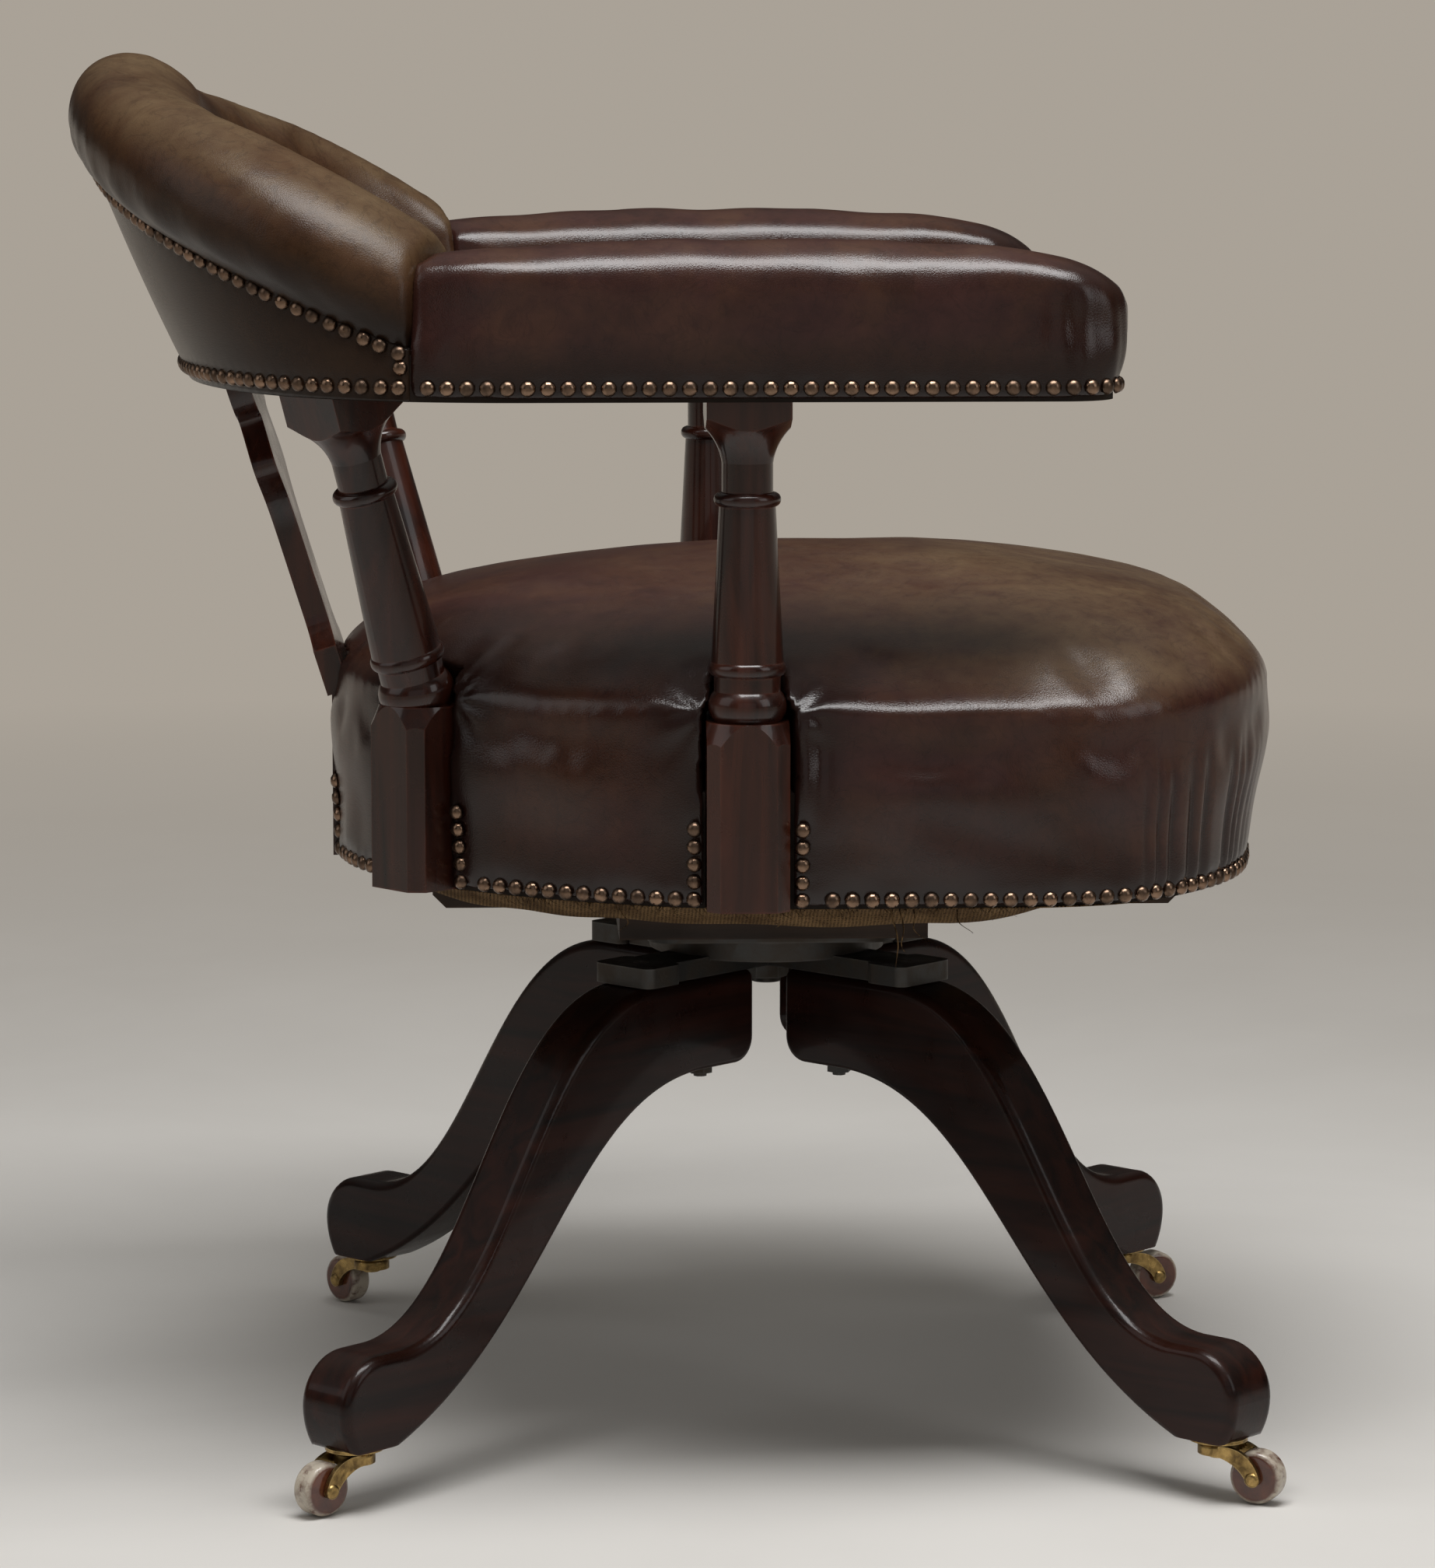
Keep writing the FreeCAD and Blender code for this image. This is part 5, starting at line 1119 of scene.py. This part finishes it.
# %% Stretched outside panel
def outside_grid(angle_count, height_count):
    """Point at an angle and a share of the height: the bow's edge, leant out by lean times height, puffed by a sine."""
    degrees = np.linspace(-seam_angle - 0.5, seam_angle + 0.5, angle_count)
    _, lean, nail = section_points(degrees)
    share = np.linspace(0, 1, height_count)
    up = 0.6 + (nail[:, None] - 1.6) * share[None]
    puff = 1.6 * np.sin(np.pi * share)[None] * smooth_step(nail, 30, 60)[:, None]
    tucked = 4.5 * smooth_step(np.abs(degrees), seam_angle - 0.5, seam_angle + 0.4)[:, None]
    return on_bow(degrees, np.stack([tucked - lean[:, None] * up - puff, up], axis=2))


panel_columns, panel_rows = 301, 33
panel_points = outside_grid(panel_columns, panel_rows)
cross = np.cross(np.gradient(panel_points, axis=0), np.gradient(panel_points, axis=1))
panel_normals = -cross / np.linalg.norm(cross, axis=2, keepdims=True)
flat_panel = panel_points.reshape(-1, 3)
panel_move = dents(flat_panel, nail_rows["back_nails"][0], 1.0 * millimetre, 5.5 * millimetre)
flat_panel = flat_panel + panel_normals.reshape(-1, 3) * panel_move[:, None]
outside_leather = make_piece("outside_leather", flat_panel, grid_faces(panel_columns, panel_rows), back_hide)
thickness = outside_leather.modifiers.new("hide_thickness", "SOLIDIFY")
thickness.thickness = 0.0022
thickness.offset = -1.0
panel_share = np.tile(np.linspace(0, 1, panel_rows), panel_columns)
# The outside hide stays at the near-black end of the worn number as painted shade, a touch lighter half way up between
# its nail rows.
set_wear_and_shade(outside_leather, 0.02 + 0.07 * np.sin(np.pi * panel_share), np.full(len(flat_panel), 0.12))
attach(outside_leather, "seat")
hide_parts("back_outside_cover")

# %% [markdown]
# ## The hessian
# The dust cloth is tacked under the seat frame and sags between the bearers. It is a grid of share of the
# outline by angle, hung by a smooth bowl, and cut away where the bearers pass. A few threads have come loose
# from its edge and hang down in curls.

# %% Sagging dust cloth
cloth_rows, cloth_columns = 61, 200
cloth_share = np.linspace(0.02, 1.0, cloth_rows)
cloth_middle = np.array([12.0, 0.0])
bearer_middle, bearer_rear, bearer_front = 68.0, -206, 247
cloth_edge = outline - outline_normal * 8.0
cloth_plan = cloth_middle + (cloth_edge - cloth_middle)[None] * cloth_share[:, None, None]
from_edge = (1 - cloth_share)[:, None]
clear_of_bearer = np.minimum(np.abs(np.abs(cloth_plan[:, :, 1]) - bearer_middle) - 21.0, 60.0)
sag = 16.0 * smooth_step(from_edge, 0.0, 0.17) * smooth_step(clear_of_bearer, 0.0, 26.0)
sag = sag * (1 - smooth_step(cloth_plan[:, :, 0], 90, 190))
sag = sag + 1.2 * np.sin(cloth_plan[:, :, 0] / 17) * np.sin(cloth_plan[:, :, 1] / 13) * smooth_step(sag, 2, 10)
cloth_level = seat_base - 0.4 - sag
cloth_points = np.concatenate([cloth_plan, cloth_level[:, :, None]], axis=2).reshape(-1, 3) * millimetre
cloth_faces = grid_faces(cloth_rows, cloth_columns, closed=True)[:, ::-1]
middle_of_face = cloth_points[cloth_faces].mean(axis=1) / millimetre
under_bearer = np.abs(np.abs(middle_of_face[:, 1]) - bearer_middle) < 22.5
under_bearer &= (middle_of_face[:, 0] < bearer_front) & (middle_of_face[:, 0] > bearer_rear)
cloth_faces = cloth_faces[~under_bearer]
dust_cloth = make_piece("dust_cloth", cloth_points, cloth_faces, jute)
thickness = dust_cloth.modifiers.new("cloth_thickness", "SOLIDIFY")
thickness.thickness = 0.0008
thickness.offset = -1.0

# %% Loose threads
def thread_tubes(starts, drops, curls, radius, around=6, along=15):
    """Tubes whose centre falls from a start by a drop and wanders by a curl times the square of the way down."""
    way = np.linspace(0, 1, along)[None, :, None]
    phase = np.arange(len(starts))[:, None, None]
    sway = [np.sin(5 * way + phase), np.cos(4 * way + 2 * phase), 0 * way + 0 * phase]
    wander = np.concatenate(sway, axis=2) * way ** 2
    centre = starts[:, None] + way * drops[:, None] + wander * curls[:, None, None]
    turn = np.linspace(0, 2 * np.pi, around, endpoint=False)
    ring = np.stack([np.cos(turn), np.sin(turn), 0 * turn], axis=1) * radius
    return centre[:, :, None] + ring[None, None] * (1 - 0.6 * way[..., None])


def thread_piece(name, tubes):
    """One mesh of all the tubes: quads along each and a cap at both ends."""
    count, along, around = tubes.shape[:3]
    first = np.arange(count)[:, None] * along * around
    walls = (grid_faces(along, around, closed=True)[:, ::-1][None] + first[:, :, None]).reshape(-1, 4).tolist()
    tops = (np.arange(around)[None] + first).tolist()
    tips = (np.arange(along * around - 1, (along - 1) * around - 1, -1)[None] + first).tolist()
    return make_piece(name, tubes.reshape(-1, 3), walls + tops + tips, jute)


thread_x = np.array([58.0, 63.0, 71.0, 96.0, -12.0, -96.0, 150.0, 20.0])
thread_y = np.array([-252.0, -253.0, -251.0, -249.0, -247.0, -228.0, 243.0, 250.0])
starts = np.stack([thread_x, thread_y, np.full(8, seat_base - 2.0)], axis=1) * millimetre
drop_length = np.array([34.0, 26.0, 18.0, 14.0, 12.0, 16.0, 15.0, 20.0]) * millimetre
drops = np.stack([0.2 * drop_length, 0.05 * drop_length, -drop_length], axis=1)
thread_curls = np.linspace(0.004, 0.009, 8)
loose_threads = thread_piece("loose_threads", thread_tubes(starts, drops, thread_curls, 0.0006))
chance = np.random.default_rng(11)
frayed = np.flatnonzero((np.abs(outline[:, 1]) > 190) & (outline[:, 0] > -170) & (outline[:, 0] < 130))
fuzz_count = 360
fuzz_at = chance.choice(frayed, fuzz_count)
fuzz_in = chance.uniform(2.0, 9.0, fuzz_count)[:, None]
fuzz_spot = outline[fuzz_at] - outline_normal[fuzz_at] * fuzz_in + chance.normal(0, 2.0, (fuzz_count, 2))
starts = np.concatenate([fuzz_spot, np.full((fuzz_count, 1), seat_base - 0.3)], axis=1) * millimetre
fuzz_fall = chance.uniform(2.0, 6.5, fuzz_count)[:, None] * millimetre
fuzz_way = np.concatenate([chance.normal(0, 0.7, (fuzz_count, 2)), -np.ones((fuzz_count, 1))], axis=1)
fuzz_curls = chance.uniform(0.001, 0.003, fuzz_count)
fuzz_tubes = thread_tubes(starts, fuzz_way * fuzz_fall, fuzz_curls, 0.00035, around=3, along=5)
hem_fuzz = thread_piece("hem_fuzz", fuzz_tubes)
for piece in (dust_cloth, loose_threads, hem_fuzz):
    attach(piece, "seat")
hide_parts("seat_hessian", "seat_webbing")
print("threads:", len(drop_length), "long and", fuzz_count, "short")

# %% [markdown]
# ## The nail heads
# Hundreds of the same domed nail run along every hem. One small dome of a few dozen faces is worked out once,
# and arrays of places and directions copy it. Each head is then raised to the hide that lies under it.

# %% Domes along every hem
around_nail = 12
dome_turn = np.linspace(0, 2 * np.pi, around_nail, endpoint=False)
dome_profile = np.array([(0.46, 0.90), (0.83, 0.55), (1.0, 0.05), (0.99, -0.22)])
dome_ring = np.stack([np.cos(dome_turn), np.sin(dome_turn)], axis=1)
dome = np.concatenate([dome_profile[:, None, :1] * dome_ring[None],
                       np.repeat(dome_profile[:, None, 1:], around_nail, axis=1)], axis=2).reshape(-1, 3)
dome_faces = grid_faces(len(dome_profile), around_nail, closed=True)[:, ::-1]
nail_radius, nail_height = 4.6 * millimetre, 3.3 * millimetre


def rise_to_leather(centre, axis, leathers):
    """How far along its axis the hide under each nail reaches: its greatest height within the nail's radius."""
    points = np.concatenate([read_points(piece.data) for piece in leathers])
    rise = np.full(len(centre), -0.45 * nail_height)
    for k in range(len(centre)):
        apart = points[np.abs(points - centre[k]).max(axis=1) < 2 * nail_radius] - centre[k]
        height = apart @ axis[k]
        under = np.linalg.norm(apart - height[:, None] * axis[k], axis=1) < 0.8 * nail_radius
        rise[k] = np.clip(height[under].max(initial=rise[k]), rise[k], 0.004)
    return rise


def nail_heads(name, row, away_from, leathers):
    """Copies of the dome: each point is centre + axis times its height + two side directions times its plan."""
    centre, axis = nail_rows[row]
    outward = np.sign(np.sum((centre - away_from(centre)) * axis, axis=1))
    axis = axis * outward[:, None]
    side = np.cross(axis, np.array([0.31, 0.12, 0.94]))
    side /= np.linalg.norm(side, axis=1, keepdims=True)
    other = np.cross(axis, side)
    base = centre + axis * (rise_to_leather(centre, axis, leathers)[:, None] - 0.0003)
    spots = (base[:, None] + side[:, None] * dome[None, :, :1] * nail_radius
             + other[:, None] * dome[None, :, 1:2] * nail_radius + axis[:, None] * dome[None, :, 2:] * nail_height)
    crown = base + axis * nail_height
    count, size = len(centre), len(dome)
    points = np.concatenate([spots.reshape(-1, 3), crown])
    first = np.arange(count)[:, None, None] * size
    walls = (dome_faces[None] + first).reshape(-1, 4).tolist()
    around = np.arange(around_nail)
    fan = np.stack([around, (around + 1) % around_nail], axis=1)[None] + first
    tips = np.broadcast_to((count * size + np.arange(count))[:, None, None], (count, around_nail, 1))
    caps = np.concatenate([fan, tips], axis=2).reshape(-1, 3).tolist()
    backs = (np.arange(size - 1, size - around_nail - 1, -1)[None] + first[:, 0]).tolist()
    piece = make_piece(name, points, walls + caps + backs, nail_bronze)
    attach(piece, "seat")
    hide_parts(row)
    return piece


def seat_axis(centre):
    """Nearest place on the upright axis of the seat, pulled towards each nail's own side."""
    return np.stack([centre[:, 0] * 0.35, centre[:, 1] * 0.2, centre[:, 2]], axis=1)


def arm_axis(centre):
    """Nearest place on the middle line of the arm that a nail is on."""
    inside = np.minimum(centre[:, 0], (arm_front - 42) * millimetre)
    return np.stack([inside, np.sign(centre[:, 1]) * (arm_outer - arm_half) * millimetre, centre[:, 2]], axis=1)


def bow_axis(centre):
    """Nearest place on the middle line of the bow, half an arm's width inside its outer edge."""
    degrees = bow_angle_of(centre)
    edge, inward = bow_edge(degrees)
    outer = np.sum((centre[:, :2] / millimetre - edge) * inward, axis=1) < arm_half
    middle = (edge + inward * np.where(outer, 60.0, 20.0)[:, None]) * millimetre
    return np.concatenate([middle, centre[:, 2:] - 0.01 * outer[:, None]], axis=1)


made = [nail_heads("seat_nail_heads", "seat_nails", seat_axis, [seat_leather]),
        nail_heads("arm_nail_heads_left", "arm_nails_left", arm_axis, [arm_leather_left]),
        nail_heads("arm_nail_heads_right", "arm_nails_right", arm_axis, [arm_leather_right]),
        nail_heads("back_nail_heads", "back_nails", bow_axis, [back_leather, outside_leather])]
print("nail heads:", [len(piece.data.polygons) for piece in made], "faces")

# %% [markdown]
# ## Size
# The dressed chair may stand a little past the solids' box with the fullness of the leather, so how far each side
# of the box grew is printed. The dressed chair has to stay in the solids' box but for a little fullness of the
# leather.

# %% Compare the boxes and finish
low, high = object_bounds()
growth = (*(np.array(cad_low) - low), *(np.array(high) - cad_high))
print("box grew by", [round(1000 * float(v), 1) for v in growth], "mm")
